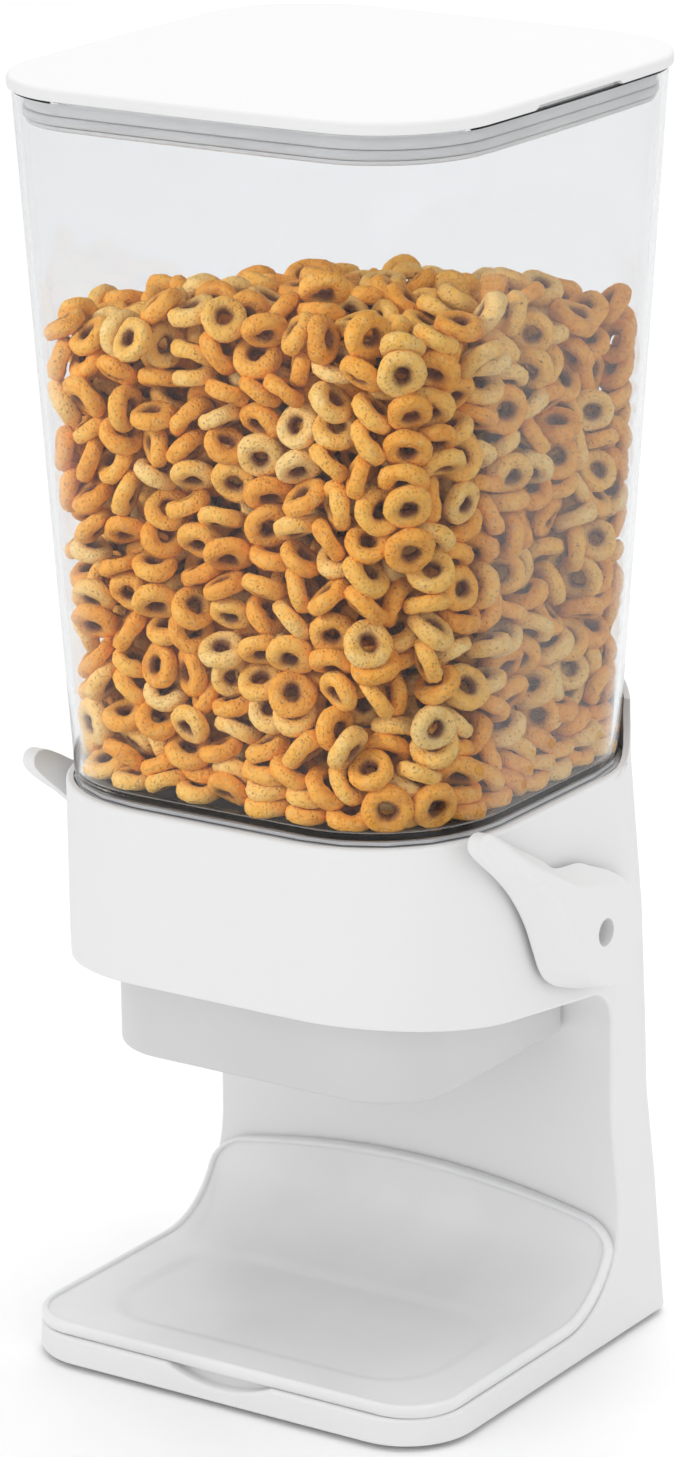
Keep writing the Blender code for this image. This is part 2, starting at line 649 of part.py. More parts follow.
# Side outlines of a lever as (y, z) from its pivot: against the housing, and on its outer face.
LEVER_INSIDE = (
    (-0.0653, 0.0442), (-0.0490, 0.0299), (-0.0398, 0.0205), (-0.0318, 0.0090), (-0.0236, -0.0080),
    (-0.0165, -0.0148), (-0.0050, -0.0196), (0.0060, -0.0225), (0.0180, -0.0215), (0.0280, -0.0150),
    (0.0335, -0.0040), (0.0325, 0.0045), (0.0270, 0.0095), (0.0180, 0.0145), (0.0090, 0.0182),
    (0.0000, 0.0218), (-0.0140, 0.0240), (-0.0240, 0.0300), (-0.0410, 0.0395), (-0.0603, 0.0492),
)
LEVER_OUTSIDE = (
    (-0.0480, 0.0335), (-0.0380, 0.0262), (-0.0300, 0.0190), (-0.0210, 0.0070), (-0.0140, -0.0050),
    (-0.0085, -0.0140), (-0.0025, -0.0175), (0.0055, -0.0200), (0.0130, -0.0185), (0.0200, -0.0120),
    (0.0232, -0.0030), (0.0222, 0.0045), (0.0190, 0.0090), (0.0130, 0.0120), (0.0040, 0.0152),
    (-0.0050, 0.0175), (-0.0160, 0.0205), (-0.0240, 0.0245), (-0.0350, 0.0305), (-0.0445, 0.0350),
)


def build_levers(parts, cutters, looks):
    inside, outside = smooth_loop(LEVER_INSIDE, 2), smooth_loop(LEVER_OUTSIDE, 2)
    stations = ((0, 0.0), (0.0012, 0.0), (0.0062, 0.42), (LEVER_THICK - 0.0008, 0.9), (LEVER_THICK, 1.0))
    for side_name, way in SIDES:
        rings = []
        for depth, amount in stations:
            shape = [a.lerp(b, amount) for a, b in zip(inside, outside)]
            rings.append([Vector((way * (LEVER_INNER + depth), PIVOT_Y + p.x, PIVOT_Z + p.y)) for p in shape])
        lever = loft(f"lever_{side_name}", rings, parts, looks["white"])
        shoulder = LEVER_INNER + LEVER_THICK - RECESS_DEPTH
        for label, radius, start, end in (("bore", HUB_BORE, LEVER_INNER - PAST, LEVER_INNER + LEVER_THICK),
                                          ("recess", RECESS_RADIUS, shoulder, shoulder + PAST)):
            cut = rod(f"lever_{label}_{side_name}", radius, start, end, (way, 0, 0), (0, PIVOT_Y, PIVOT_Z),
                      cutters)
            boolean(lever, cut)
        hang_from_pivot(lever)


def hopper_ring(z, inset=0.0):
    up = share(HOPPER_BOTTOM, HOPPER_TOP, z)
    half = mix(HOPPER_HALF_BOTTOM, HOPPER_HALF_TOP, up) - inset
    front_radius = mix(HOPPER_FRONT_RADIUS, HOPPER_RADIUS_TOP, up) - inset
    rear_radius = mix(HOPPER_REAR_RADIUS, HOPPER_RADIUS_TOP, up) - inset
    return level(outline(half, -half, half, front_radius, rear_radius, mix(LEAST_BOW, HOPPER_BOW, up)), z)


def build_hopper(parts, cutters, looks):
    rings = [hopper_ring(HOPPER_BOTTOM), hopper_ring(HOPPER_TOP)]
    hopper = loft("hopper", rings, parts, looks["clear"])
    low = HOPPER_BOTTOM - SPIGOT_DEPTH
    spigot = square(SPIGOT_HALF, SPIGOT_RADIUS)
    spigot_rings = [level(spigot, low), level(spigot, HOPPER_BOTTOM + 0.001)]
    boolean(hopper, loft("spigot", spigot_rings, cutters), "UNION")
    inside = [hopper_ring(z, HOPPER_WALL) for z in (HOPPER_BOTTOM + HOPPER_WALL, HOPPER_TOP)]
    inside.append(level(inside[-1], HOPPER_TOP + PAST))
    boolean(hopper, loft("hopper_room", inside, cutters))
    bore = square(SPIGOT_HALF - SPIGOT_WALL, SPIGOT_RADIUS - SPIGOT_WALL)
    boolean(hopper, loft("spigot_bore", [level(bore, low - PAST), level(bore, HOPPER_BOTTOM + PAST)], cutters))

    plan = hopper_ring(HOPPER_BOTTOM, GASKET_INSET)
    ring = [level(plan, z) for z in (HOUSING_TOP + GAP, HOUSING_TOP + GASKET_THICK)]
    gasket = loft("hopper_gasket", ring, parts, looks["rubber"])
    hole = square(SPIGOT_HALF + 2 * GAP, SPIGOT_RADIUS + 2 * GAP)
    boolean(gasket, loft("gasket_hole", [level(hole, HOUSING_TOP - PAST), level(hole, HOPPER_BOTTOM)], cutters))


def build_lid(parts, cutters, looks):
    low = HOPPER_TOP + GAP
    top = low + LID_THICK

    def edge(z, inset):
        return level(square(LID_HALF - inset, LID_RADIUS - inset, LID_BOW), z)

    lid = loft("lid_plate", [edge(low, 0.0006), edge(low + 0.0006, 0), edge(top - 0.0012, 0),
                             edge(top - 0.0004, 0.0004), edge(top, 0.0012)], parts, looks["white"])
    notch_low, notch_high = low - 0.002, low + 0.0016
    notch = side_prism("lid_notch", [(-0.028, notch_low), (0.030, notch_low), (0.025, notch_high),
                                     (-0.023, notch_high)], NOTCH_HALF, cutters)
    notch.location.x = LID_HALF + LID_BOW + NOTCH_HALF - NOTCH_DEPTH
    boolean(lid, notch)

    plug_top = low - GAP
    plug_low = plug_top - PLUG_DEPTH

    def skirt(z, inset):
        return hopper_ring(z, HOPPER_WALL + PLUG_CLEARANCE + inset)

    groove_low, groove_high = plug_low + 0.0015, plug_low + 0.0015 + SEAL_HEIGHT
    depth = GROOVE_DEPTH
    plug = loft("lid_plug", [skirt(plug_low, 0.0004), skirt(plug_low + 0.0004, 0), skirt(groove_low, 0),
                             skirt(groove_low, depth), skirt(groove_high, depth), skirt(groove_high, 0),
                             skirt(plug_top, 0)], parts, looks["frosted"])
    boolean(plug, loft("plug_room", [skirt(plug_low - PAST, depth + PLUG_WALL),
                                     skirt(plug_low, depth + PLUG_WALL),
                                     skirt(plug_top - PLUG_WALL, depth + PLUG_WALL)], cutters))
    seal = loft("lid_seal", [skirt(groove_low + GAP, -SEAL_REACH), skirt(groove_high - GAP, -SEAL_REACH)],
                parts, looks["silicone"])
    hole = [skirt(z, depth - GAP) for z in (groove_low - PAST, groove_low, groove_high, groove_high + PAST)]
    boolean(seal, loft("seal_hole", hole, cutters))


def front_prism(name, profile, front, rear, group):
    """An (x, z) outline drawn out from front to rear."""
    return loft(name, [[Vector((x, y, z)) for x, z in profile] for y in (front, rear)], group)


def build_tray(parts, cutters, looks):
    """A dished sheet that follows the base's deck and curves up the column."""
    deck = BASE_DECK + GAP
    lip_back = COLUMN_FRONT - GAP
    bend = DECK_FILLET - GAP
    centre = (lip_back - bend, deck + bend)

    def plan(inset, rear):
        return outline(TRAY_HALF_WIDTH - inset, TRAY_FRONT + inset, rear, TRAY_RADIUS - inset, 0.004)

    def block(name, inset, rear, lift, group, look=None):
        """Everything inside the plan and above the bend raised by lift."""
        made = loft(name, [level(plan(inset, rear), z) for z in (0, TRAY_BACK + PAST)], group, look)
        side = [(-FAR, deck + lift), *arc(centre, bend - lift, -90, 0, 8),
                (lip_back - lift, TRAY_BACK + 2 * PAST),
                (-FAR, TRAY_BACK + 2 * PAST)]
        boolean(made, side_prism(name + "_side", side, FAR, cutters), "INTERSECT")
        return made

    tray = block("catch_tray", 0, 0.06, 0, parts, looks["tray"])
    boolean(tray, block("tray_above", -0.01, 0.07, TRAY_RIM, cutters))
    boolean(tray, block("tray_inside", TRAY_LIP_WIDTH, 0.07, TRAY_SHELF, cutters))

    def dish_ring(slope, z):
        border = slope + TRAY_LIP_WIDTH + TRAY_BORDER
        plan = outline(TRAY_HALF_WIDTH - border, TRAY_FRONT + border, centre[0] + 0.0028 - slope,
                       TRAY_DISH_RADIUS, TRAY_DISH_RADIUS)
        return level(plan, z)

    rings = [dish_ring(TRAY_SLOPE, deck + TRAY_FLOOR), dish_ring(0, deck + TRAY_SHELF + 0.0005)]
    dish = loft("tray_dish", rings, cutters)
    boolean(tray, dish)
    half, corner = TRAY_HALF_WIDTH, 0.010
    side_top = TRAY_BACK - TRAY_BACK_DROP
    crown = [(x, TRAY_BACK - TRAY_BACK_DROP * (x / half) ** 2) for x in
             ((half - corner) * (1 - k / 4) for k in range(9))]
    edge = [(half + 0.001, -0.01), (half + 0.001, side_top - corner),
            *arc((half + 0.001 - corner, side_top - corner), corner, 22, 68, 2), *crown,
            *arc((corner - half - 0.001, side_top - corner), corner, 112, 158, 2),
            (-half - 0.001, side_top - corner), (-half - 0.001, -0.01)]
    boolean(tray, front_prism("tray_edge", edge, -FAR, FAR, cutters), "INTERSECT")


def main():
    clear_scene()
    parts = make_collection("cereal_dispenser")
    cutters = make_collection("cutters", hidden=True)
    looks = {
        "white": plastic("white_abs", (0.80, 0.80, 0.80), 0.38),
        "clear": plastic("clear_san", (0.93, 0.94, 0.94), 0.05, transmission=1.0),
        "frosted": plastic("frosted_pp", (0.72, 0.73, 0.74), 0.35),
        "tray": plastic("tray_pp", (0.66, 0.66, 0.66), 0.4),
        "rubber": plastic("grey_rubber", (0.12, 0.12, 0.12), 0.8),
        "silicone": plastic("silicone", (0.6, 0.6, 0.6), 0.5),
        "nylon": plastic("nylon", (0.7, 0.69, 0.64), 0.45),
        "steel": plastic("steel", (0.55, 0.56, 0.57), 0.35, metallic=1.0),
    }
    build_base(parts, cutters, looks)
    build_column(parts, cutters, looks)
    build_housing(parts, cutters, looks)
    build_funnel(parts, cutters, looks)
    build_chute(parts, cutters, looks)
    build_gate(parts, cutters, looks)
    build_levers(parts, cutters, looks)
    build_hopper(parts, cutters, looks)
    build_lid(parts, cutters, looks)
    build_tray(parts, cutters, looks)


main()
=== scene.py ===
import math

import bmesh
import bpy
import numpy as np
from mathutils import Matrix, Vector


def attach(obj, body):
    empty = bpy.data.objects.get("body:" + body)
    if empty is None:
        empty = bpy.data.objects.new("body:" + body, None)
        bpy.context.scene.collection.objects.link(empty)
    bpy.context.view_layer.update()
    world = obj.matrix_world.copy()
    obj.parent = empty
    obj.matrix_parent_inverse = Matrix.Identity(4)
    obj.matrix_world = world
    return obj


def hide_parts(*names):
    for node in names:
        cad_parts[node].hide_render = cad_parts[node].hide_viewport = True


# Cereal dispenser: clear hopper on a white stand, side levers, gate in the spout, catch tray.
# Everything is in metres, front towards -Y, origin on the table.

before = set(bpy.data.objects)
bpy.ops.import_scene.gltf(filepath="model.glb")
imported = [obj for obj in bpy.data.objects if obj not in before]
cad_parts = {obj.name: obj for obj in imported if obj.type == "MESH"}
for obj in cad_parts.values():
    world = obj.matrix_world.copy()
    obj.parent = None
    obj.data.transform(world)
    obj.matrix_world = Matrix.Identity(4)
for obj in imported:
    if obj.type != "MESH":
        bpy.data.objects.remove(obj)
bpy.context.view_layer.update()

mm = 0.001


def linearColour(hexText):
    # sRGB hex to the linear values that shaders want
    values = [int(hexText[i : i + 2], 16) / 255 for i in (1, 3, 5)]
    return [v / 12.92 if v <= 0.04045 else ((v + 0.055) / 1.055) ** 2.4 for v in values] + [1.0]


def addNode(tree, kind, settings=None, sockets=None):
    made = tree.nodes.new(kind)
    for key, value in (settings or {}).items():
        setattr(made, key, value)
    for key, value in (sockets or {}).items():
        if isinstance(value, bpy.types.NodeSocket):
            tree.links.new(value, made.inputs[key])
        else:
            made.inputs[key].default_value = value
    return made


def newMaterial(name):
    made = bpy.data.materials.new(name)
    made.use_nodes = True
    tree = made.node_tree
    tree.nodes.clear()
    return made, tree, addNode(tree, "ShaderNodeTexCoord").outputs["Object"]


def setStops(ramp, stops):
    while len(ramp.elements) > len(stops):
        ramp.elements.remove(ramp.elements[-1])
    while len(ramp.elements) < len(stops):
        ramp.elements.new(1.0)
    for element, (place, colour) in zip(ramp.elements, stops):
        element.position = place
        element.color = linearColour(colour) if isinstance(colour, str) else (colour, colour, colour, 1)


def waves(size):
    # noise scale for features of this real size, in metres
    return 1.0 / size


# what a moulded plastic takes where its own list says nothing else
usualPlastic = {
    "flowSize": 20 * mm, "grainSize": 0.5 * mm, "polishSize": 9 * mm, "roughness": 0.42,
    "roughSpread": 0.05, "grainStrength": 0.10, "grainDepth": 0.04 * mm, "ior": 1.53,
}


def mouldedPlastic(name, ownLook):
    # one recipe for the satin moulded plastics: a broad flow tone, a fine spark-eroded grain in
    # the bump, and roughness that wanders a little where hands and the mould have polished it
    look = {**usualPlastic, **ownLook}
    made, tree, place = newMaterial(name)
    flow = addNode(tree, "ShaderNodeTexNoise", {}, {
        "Vector": place, "Scale": waves(look["flowSize"]), "Detail": 2.0, "Roughness": 0.5})
    tone = addNode(tree, "ShaderNodeValToRGB", {}, {"Fac": flow.outputs["Fac"]})
    setStops(tone.color_ramp, ((0.35, look["dark"]), (0.65, look["light"])))
    grain = addNode(tree, "ShaderNodeTexNoise", {}, {
        "Vector": place, "Scale": waves(look["grainSize"]), "Detail": 3.0, "Roughness": 0.6})
    polish = addNode(tree, "ShaderNodeTexNoise", {}, {
        "Vector": place, "Scale": waves(look["polishSize"]), "Detail": 4.0, "Roughness": 0.55})
    rough = addNode(tree, "ShaderNodeMapRange", {}, {
        "Value": polish.outputs["Fac"], "From Min": 0.3, "From Max": 0.7,
        "To Min": look["roughness"] - look["roughSpread"], "To Max": look["roughness"] + look["roughSpread"]})
    bump = addNode(tree, "ShaderNodeBump", {}, {
        "Height": grain.outputs["Fac"], "Strength": look["grainStrength"], "Distance": look["grainDepth"]})
    shader = addNode(tree, "ShaderNodeBsdfPrincipled", {}, {
        "Base Color": tone.outputs["Color"], "Roughness": rough.outputs["Result"],
        "Normal": bump.outputs["Normal"], "IOR": look["ior"]})
    if "Transmission Weight" in look:
        shader.inputs["Transmission Weight"].default_value = look["Transmission Weight"]
    if "Subsurface Weight" in look:
        shader.inputs["Subsurface Weight"].default_value = look["Subsurface Weight"]
        shader.inputs["Subsurface Radius"].default_value = (1.0, 1.0, 1.0)
        shader.inputs["Subsurface Scale"].default_value = 1.5 * mm
    addNode(tree, "ShaderNodeOutputMaterial", {}, {"Surface": shader.outputs["BSDF"]})
    return made


# ABS, moulded in a spark-eroded tool: an even cool white with a soft satin shine.
whiteAbs = mouldedPlastic("satinMouldedAbs", {
    "light": "#CECECE", "dark": "#CACACB", "flowSize": 60 * mm, "grainSize": 0.9 * mm,
    "polishSize": 22 * mm, "roughness": 0.40, "grainDepth": 0.05 * mm})
# ABS from a polished tool: the lid is whiter and shinier than the stand.
glossAbs = mouldedPlastic("polishedMouldedAbs", {
    "light": "#D2D2D2", "dark": "#CFCFD0", "flowSize": 70 * mm, "grainSize": 1.2 * mm,
    "polishSize": 30 * mm, "roughness": 0.24, "roughSpread": 0.04, "grainStrength": 0.04})
# Polypropylene, moulded thin: greyer, waxy, and a little light gets into it.
satinPp = mouldedPlastic("satinMouldedPolypropylene", {
    "light": "#EAEAEA", "dark": "#E4E4E5", "flowSize": 45 * mm, "grainSize": 0.8 * mm,
    "polishSize": 16 * mm, "roughSpread": 0.06, "grainStrength": 0.12, "grainDepth": 0.05 * mm,
    "ior": 1.49, "Subsurface Weight": 0.25})
# Natural polypropylene left milky: the lid's plug and the gate look frosted.
milkyPp = mouldedPlastic("milkyMouldedPolypropylene", {
    "light": "#F6F6F6", "dark": "#F0F0F1", "flowSize": 30 * mm, "grainSize": 0.7 * mm,
    "polishSize": 14 * mm, "roughness": 0.38, "grainStrength": 0.08, "ior": 1.49,
    "Subsurface Weight": 0.3})
# Silicone, moulded: soft grey and matt, with a faint skin.
greySilicone = mouldedPlastic("mouldedSilicone", {
    "light": "#D2D3D5", "dark": "#C6C7CA", "roughness": 0.55, "roughSpread": 0.06, "ior": 1.41,
    "Transmission Weight": 0.15})
# The same silicone, painted nearly white behind the clear wall: the extra whiteness over the grey silicone is
# painted light, standing in for light the lid seal lacks in the shade under the lid.
siliconeWithPaintedLight = mouldedPlastic("siliconeLiftedByPaintedLight", {
    "light": "#F0F0F0", "dark": "#E8E8E9", "roughness": 0.55, "roughSpread": 0.06, "ior": 1.41,
    "Subsurface Weight": 0.3})
# Thermoplastic rubber, moulded: nearly black, matt, and dusty on its high spots.
darkRubber = mouldedPlastic("mouldedRubber", {
    "light": "#4B4C50", "dark": "#3A3B3F", "flowSize": 8 * mm, "grainSize": 0.4 * mm,
    "polishSize": 5 * mm, "roughness": 0.72, "roughSpread": 0.08, "grainStrength": 0.25,
    "grainDepth": 0.06 * mm, "ior": 1.50})
# Nylon, moulded and undyed: warm ivory and slightly greasy.
ivoryNylon = mouldedPlastic("mouldedNylon", {
    "light": "#E6E0D2", "dark": "#DDD6C6", "flowSize": 10 * mm, "grainSize": 0.4 * mm,
    "polishSize": 5 * mm, "grainDepth": 0.03 * mm})


def drawnSteel(name, look):
    # zinc-plated steel: a metal grey that shifts a little, with fine drawing lines along X
    made, tree, place = newMaterial(name)
    stretched = addNode(tree, "ShaderNodeMapping", {}, {"Vector": place, "Scale": look["stretch"]})
    lines = addNode(tree, "ShaderNodeTexNoise", {}, {
        "Vector": stretched.outputs["Vector"], "Scale": waves(look["lineSpacing"]), "Detail": 3.0})
    tone = addNode(tree, "ShaderNodeValToRGB", {}, {"Fac": lines.outputs["Fac"]})
    setStops(tone.color_ramp, ((0.3, look["dark"]), (0.7, look["light"])))
    rough = addNode(tree, "ShaderNodeMapRange", {}, {
        "Value": lines.outputs["Fac"], "To Min": look["roughness"] - look["roughSpread"],
        "To Max": look["roughness"] + look["roughSpread"]})
    bump = addNode(tree, "ShaderNodeBump", {}, {
        "Height": lines.outputs["Fac"], "Strength": 0.15, "Distance": look["lineDepth"]})
    shader = addNode(tree, "ShaderNodeBsdfPrincipled", {}, {
        "Base Color": tone.outputs["Color"], "Metallic": 1.0, "Roughness": rough.outputs["Result"],
        "Normal": bump.outputs["Normal"]})
    addNode(tree, "ShaderNodeOutputMaterial", {}, {"Surface": shader.outputs["BSDF"]})
    return made


platedSteel = drawnSteel("zincPlatedSteel", {
    "light": "#C9CACC", "dark": "#A9ABAE", "lineSpacing": 0.3 * mm, "lineDepth": 0.02 * mm,
    "stretch": (0.15, 1.0, 1.0), "roughness": 0.32, "roughSpread": 0.08})


def clearPlastic(name, look):
    # SAN, injection moulded and polished: clear, with very faint flow marks in its shine. Its body
    # takes a little light, so edges and corners seen along the wall turn cool grey. Lamps pass
    # through it, so what is inside stays lit.
    made, tree, place = newMaterial(name)
    stretched = addNode(tree, "ShaderNodeMapping", {}, {"Vector": place, "Scale": (1.0, 1.0, 0.25)})
    flow = addNode(tree, "ShaderNodeTexNoise", {}, {
        "Vector": stretched.outputs["Vector"], "Scale": waves(look["flowSize"]), "Detail": 2.0})
    bump = addNode(tree, "ShaderNodeBump", {}, {
        "Height": flow.outputs["Fac"], "Strength": look["flowStrength"], "Distance": look["flowDepth"]})
    shader = addNode(tree, "ShaderNodeBsdfPrincipled", {}, {
        "Base Color": linearColour(look["colour"]), "Roughness": look["roughness"], "IOR": look["ior"],
        "Transmission Weight": 1.0, "Specular IOR Level": look["level"],
        "Specular Tint": linearColour(look["shine"]), "Normal": bump.outputs["Normal"]})
    through = addNode(tree, "ShaderNodeBsdfTransparent", {}, {"Color": linearColour(look["shadow"])})
    ray = addNode(tree, "ShaderNodeLightPath")
    either = addNode(tree, "ShaderNodeMixShader", {}, {
        0: ray.outputs["Is Shadow Ray"], 1: shader.outputs["BSDF"], 2: through.outputs["BSDF"]})
    depth = addNode(tree, "ShaderNodeVolumeAbsorption", {}, {
        "Color": linearColour(look["body"]), "Density": look["bodyDensity"]})
    addNode(tree, "ShaderNodeOutputMaterial", {}, {
        "Surface": either.outputs["Shader"], "Volume": depth.outputs["Volume"]})
    return made


clearSan = clearPlastic("clearMouldedSan", {
    "colour": "#F6F7F8", "shadow": "#FFFFFF", "roughness": 0.02, "ior": 1.57, "flowSize": 35 * mm,
    "flowStrength": 0.03, "flowDepth": 0.2 * mm, "body": "#D0D1D2", "bodyDensity": 45.0,
    "shine": "#8C8C8C", "level": 0.2})


def bakedOats(name, look):
    # toasted oat dough: golden crust, darker where the oven caught it, pale flour dust, brown
    # bran flecks and small pores. Each ring has its own tone. Each hole's inner side is darker: partly
    # toasting, partly painted shade for the hollow of the hole.
    made, tree, place = newMaterial(name)
    shade = addNode(tree, "ShaderNodeAttribute", {"attribute_name": "ringShade"}).outputs["Fac"]
    inner = addNode(tree, "ShaderNodeAttribute", {"attribute_name": "ringHoleToastAndShade"}).outputs["Fac"]
    crust = addNode(tree, "ShaderNodeTexNoise", {}, {
        "Vector": place, "Scale": waves(look["crustSize"]), "Detail": 3.0, "Roughness": 0.6})
    mixed = addNode(tree, "ShaderNodeMath", {"operation": "MULTIPLY_ADD"}, {
        0: crust.outputs["Fac"], 1: 0.55, 2: shade})
    tone = addNode(tree, "ShaderNodeValToRGB", {}, {"Fac": mixed.outputs["Value"]})
    setStops(tone.color_ramp, look["tones"])
    flecks = addNode(tree, "ShaderNodeTexNoise", {}, {
        "Vector": place, "Scale": waves(look["fleckSize"]), "Detail": 2.0, "Roughness": 0.7})
    fleckMask = addNode(tree, "ShaderNodeMapRange", {}, {
        "Value": flecks.outputs["Fac"], "From Min": 0.60, "From Max": 0.72})
    flecked = addNode(tree, "ShaderNodeMix", {"data_type": "RGBA"}, {
        "Factor": fleckMask.outputs["Result"], 6: tone.outputs["Color"], 7: linearColour(look["fleck"])})
    dust = addNode(tree, "ShaderNodeTexNoise", {}, {
        "Vector": place, "Scale": waves(look["dustSize"]), "Detail": 4.0, "Roughness": 0.65})
    dustMask = addNode(tree, "ShaderNodeMapRange", {}, {
        "Value": dust.outputs["Fac"], "From Min": 0.52, "From Max": 0.74, "To Max": 0.5})
    dusted = addNode(tree, "ShaderNodeMix", {"data_type": "RGBA"}, {
        "Factor": dustMask.outputs["Result"], 6: flecked.outputs[2], 7: linearColour(look["dust"])})
    # the hole's inner side: toasted dough, darkened further as painted shade for the hollow
    holeToastAndShade = addNode(tree, "ShaderNodeMix", {"data_type": "RGBA"}, {
        "Factor": inner, 6: dusted.outputs[2], 7: linearColour(look["hole"])})
    pores = addNode(tree, "ShaderNodeTexVoronoi", {}, {"Vector": place, "Scale": waves(look["poreSize"])})
    poreDip = addNode(tree, "ShaderNodeMapRange", {}, {
        "Value": pores.outputs["Distance"], "From Min": 0.0, "From Max": 0.45})
    height = addNode(tree, "ShaderNodeMath", {"operation": "MULTIPLY_ADD"}, {
        0: crust.outputs["Fac"], 1: 1.4, 2: poreDip.outputs["Result"]})
    bump = addNode(tree, "ShaderNodeBump", {}, {
        "Height": height.outputs["Value"], "Strength": 0.85, "Distance": look["poreDepth"]})
    shader = addNode(tree, "ShaderNodeBsdfPrincipled", {}, {
        "Base Color": holeToastAndShade.outputs[2], "Roughness": 0.68, "IOR": 1.45, "Normal": bump.outputs["Normal"],
        "Subsurface Weight": 0.05, "Subsurface Scale": 1.0 * mm})
    shader.inputs["Subsurface Radius"].default_value = (1.0, 0.5, 0.25)
    addNode(tree, "ShaderNodeOutputMaterial", {}, {"Surface": shader.outputs["BSDF"]})
    return made


# hole is the colour painted into each ring's hole: toasted dough plus painted shade
toastedOats = bakedOats("bakedOatRings", {
    "tones": ((0.10, "#E08A20"), (0.32, "#FDB03C"), (0.52, "#FFC55A"), (0.78, "#FFDD92")),
    "fleck": "#864A18", "dust": "#FFD68A", "hole": "#7A3A0E", "crustSize": 5 * mm, "fleckSize": 1.1 * mm,
    "dustSize": 2.2 * mm, "poreSize": 1.3 * mm, "poreDepth": 0.5 * mm})
print("materials made")


def roundedPlan(halfX, front, rear, frontRadius, rearRadius, swell=0.0, cornerSteps=20, sideSteps=1):
    # a rounded rectangle, counterclockwise from its front right corner. swell bows the sides out.
    corners = (
        (halfX - frontRadius, front + frontRadius, frontRadius, -90),
        (halfX - rearRadius, rear - rearRadius, rearRadius, 0),
        (rearRadius - halfX, rear - rearRadius, rearRadius, 90),
        (frontRadius - halfX, front + frontRadius, frontRadius, 180),
    )
    points = []
    for k, (x, y, radius, start) in enumerate(corners):
        for step in range(cornerSteps + 1):
            turn = math.radians(start + 90 * step / cornerSteps)
            points.append(Vector((x + radius * math.cos(turn), y + radius * math.sin(turn))))
        nextX, nextY, nextRadius, nextStart = corners[(k + 1) % 4]
        turn = math.radians(nextStart)
        after = Vector((nextX + nextRadius * math.cos(turn), nextY + nextRadius * math.sin(turn)))
        points += [points[-1].lerp(after, i / sideSteps) for i in range(1, sideSteps)]
    middle, halfY = (front + rear) / 2, (rear - front) / 2
    return [
        Vector((
            p.x + math.copysign(swell, p.x) * (1 - ((p.y - middle) / halfY) ** 2),
            p.y + math.copysign(swell, p.y - middle) * (1 - (p.x / halfX) ** 2),
        ))
        for p in points
    ]


def squarePlan(half, radius, swell=0.0, **steps):
    return roundedPlan(half, -half, half, radius, radius, swell, **steps)


def atHeight(plan, z):
    return [Vector((p.x, p.y, z)) for p in plan]


def finishMesh(name, bm, material, sharp):
    bmesh.ops.recalc_face_normals(bm, faces=bm.faces[:])
    mesh = bpy.data.meshes.new(name)
    bm.to_mesh(mesh)
    bm.free()
    mesh.shade_smooth()
    if sharp:
        mesh.set_sharp_from_angle(angle=math.radians(sharp))
    piece = bpy.data.objects.new(name, mesh)
    bpy.context.scene.collection.objects.link(piece)
    if material:
        mesh.materials.append(material)
    return piece


def skinRings(name, rings, material=None, sharp=35):
    # a closed skin through rings of as many points each
    bm = bmesh.new()
    rows = [[bm.verts.new(p) for p in ring] for ring in rings]
    count = len(rows[0])
    for low, high in zip(rows, rows[1:]):
        for i in range(count):
            j = (i + 1) % count
            bm.faces.new((low[i], low[j], high[j], high[i]))
    bm.faces.new(rows[0][::-1])
    bm.faces.new(rows[-1])
    return finishMesh(name, bm, material, sharp)


def openTube(name, rings, material, sharp=35):
    # a skin through rings that closes on itself: the last ring joins the first
    bm = bmesh.new()
    rows = [[bm.verts.new(p) for p in ring] for ring in rings]
    count = len(rows[0])
    for low, high in zip(rows, rows[1:] + rows[:1]):
        for i in range(count):
            j = (i + 1) % count
            bm.faces.new((low[i], low[j], high[j], high[i]))
    return finishMesh(name, bm, material, sharp)


def sidePrism(name, outline, halfWidth):
    # a (y, z) outline drawn out across the width
    return skinRings(name, [[Vector((x, y, z)) for y, z in outline] for x in (-halfWidth, halfWidth)])


def arcPoints(centre, radius, start, end, steps):
    return [
        (centre[0] + radius * math.cos(math.radians(start + (end - start) * i / steps)),
         centre[1] + radius * math.sin(math.radians(start + (end - start) * i / steps)))
        for i in range(steps + 1)
    ]


def rodAlongX(name, radius, x0, x1, y, z, steps=48):
    rings = [[Vector((x, y + radius * math.cos(2 * math.pi * k / steps),
                      z + radius * math.sin(2 * math.pi * k / steps))) for k in range(steps)]
             for x in (x0, x1)]
    return skinRings(name, rings)


def carve(piece, tool):
    # cuts the tool out of the piece and takes the tool away
    change = piece.modifiers.new("carve", "BOOLEAN")
    change.operation, change.object, change.solver = "DIFFERENCE", tool, "MANIFOLD"
    applyModifiers(piece)
    toolMesh = tool.data
    bpy.data.objects.remove(tool)
    bpy.data.meshes.remove(toolMesh)
    return piece


def applyModifiers(piece):
    graph = bpy.context.evaluated_depsgraph_get()
    fresh = bpy.data.meshes.new_from_object(piece.evaluated_get(graph), depsgraph=graph)
    old = piece.data
    piece.modifiers.clear()
    piece.data = fresh
    fresh.name = piece.name
    bpy.data.meshes.remove(old)


def softenEdges(piece, width, partOfWidth):
    # a small moulded radius on every edge over 32 degrees, scaled by partOfWidth(its middle)
    bm = bmesh.new()
    bm.from_mesh(piece.data)
    bmesh.ops.dissolve_limit(bm, angle_limit=math.radians(0.2), verts=bm.verts[:], edges=bm.edges[:])
    weights = bm.edges.layers.float.new("bevel_weight_edge")
    for edge in bm.edges:
        if edge.calc_face_angle(0) > math.radians(32):
            edge[weights] = partOfWidth((edge.verts[0].co + edge.verts[1].co) / 2)
    bm.to_mesh(piece.data)
    bm.free()
    bevel = piece.modifiers.new("softEdge", "BEVEL")
    bevel.width, bevel.segments = width, 4
    bevel.limit_method = "WEIGHT"
    bevel.use_clamp_overlap = False
    applyModifiers(piece)
    return piece


def mix(a, b, amount):  # a at 0, b at 1
    return a + (b - a) * amount


def share(low, high, value):  # how far value is from low to high, kept in 0 to 1
    return min(1.0, max(0.0, (value - low) / (high - low)))


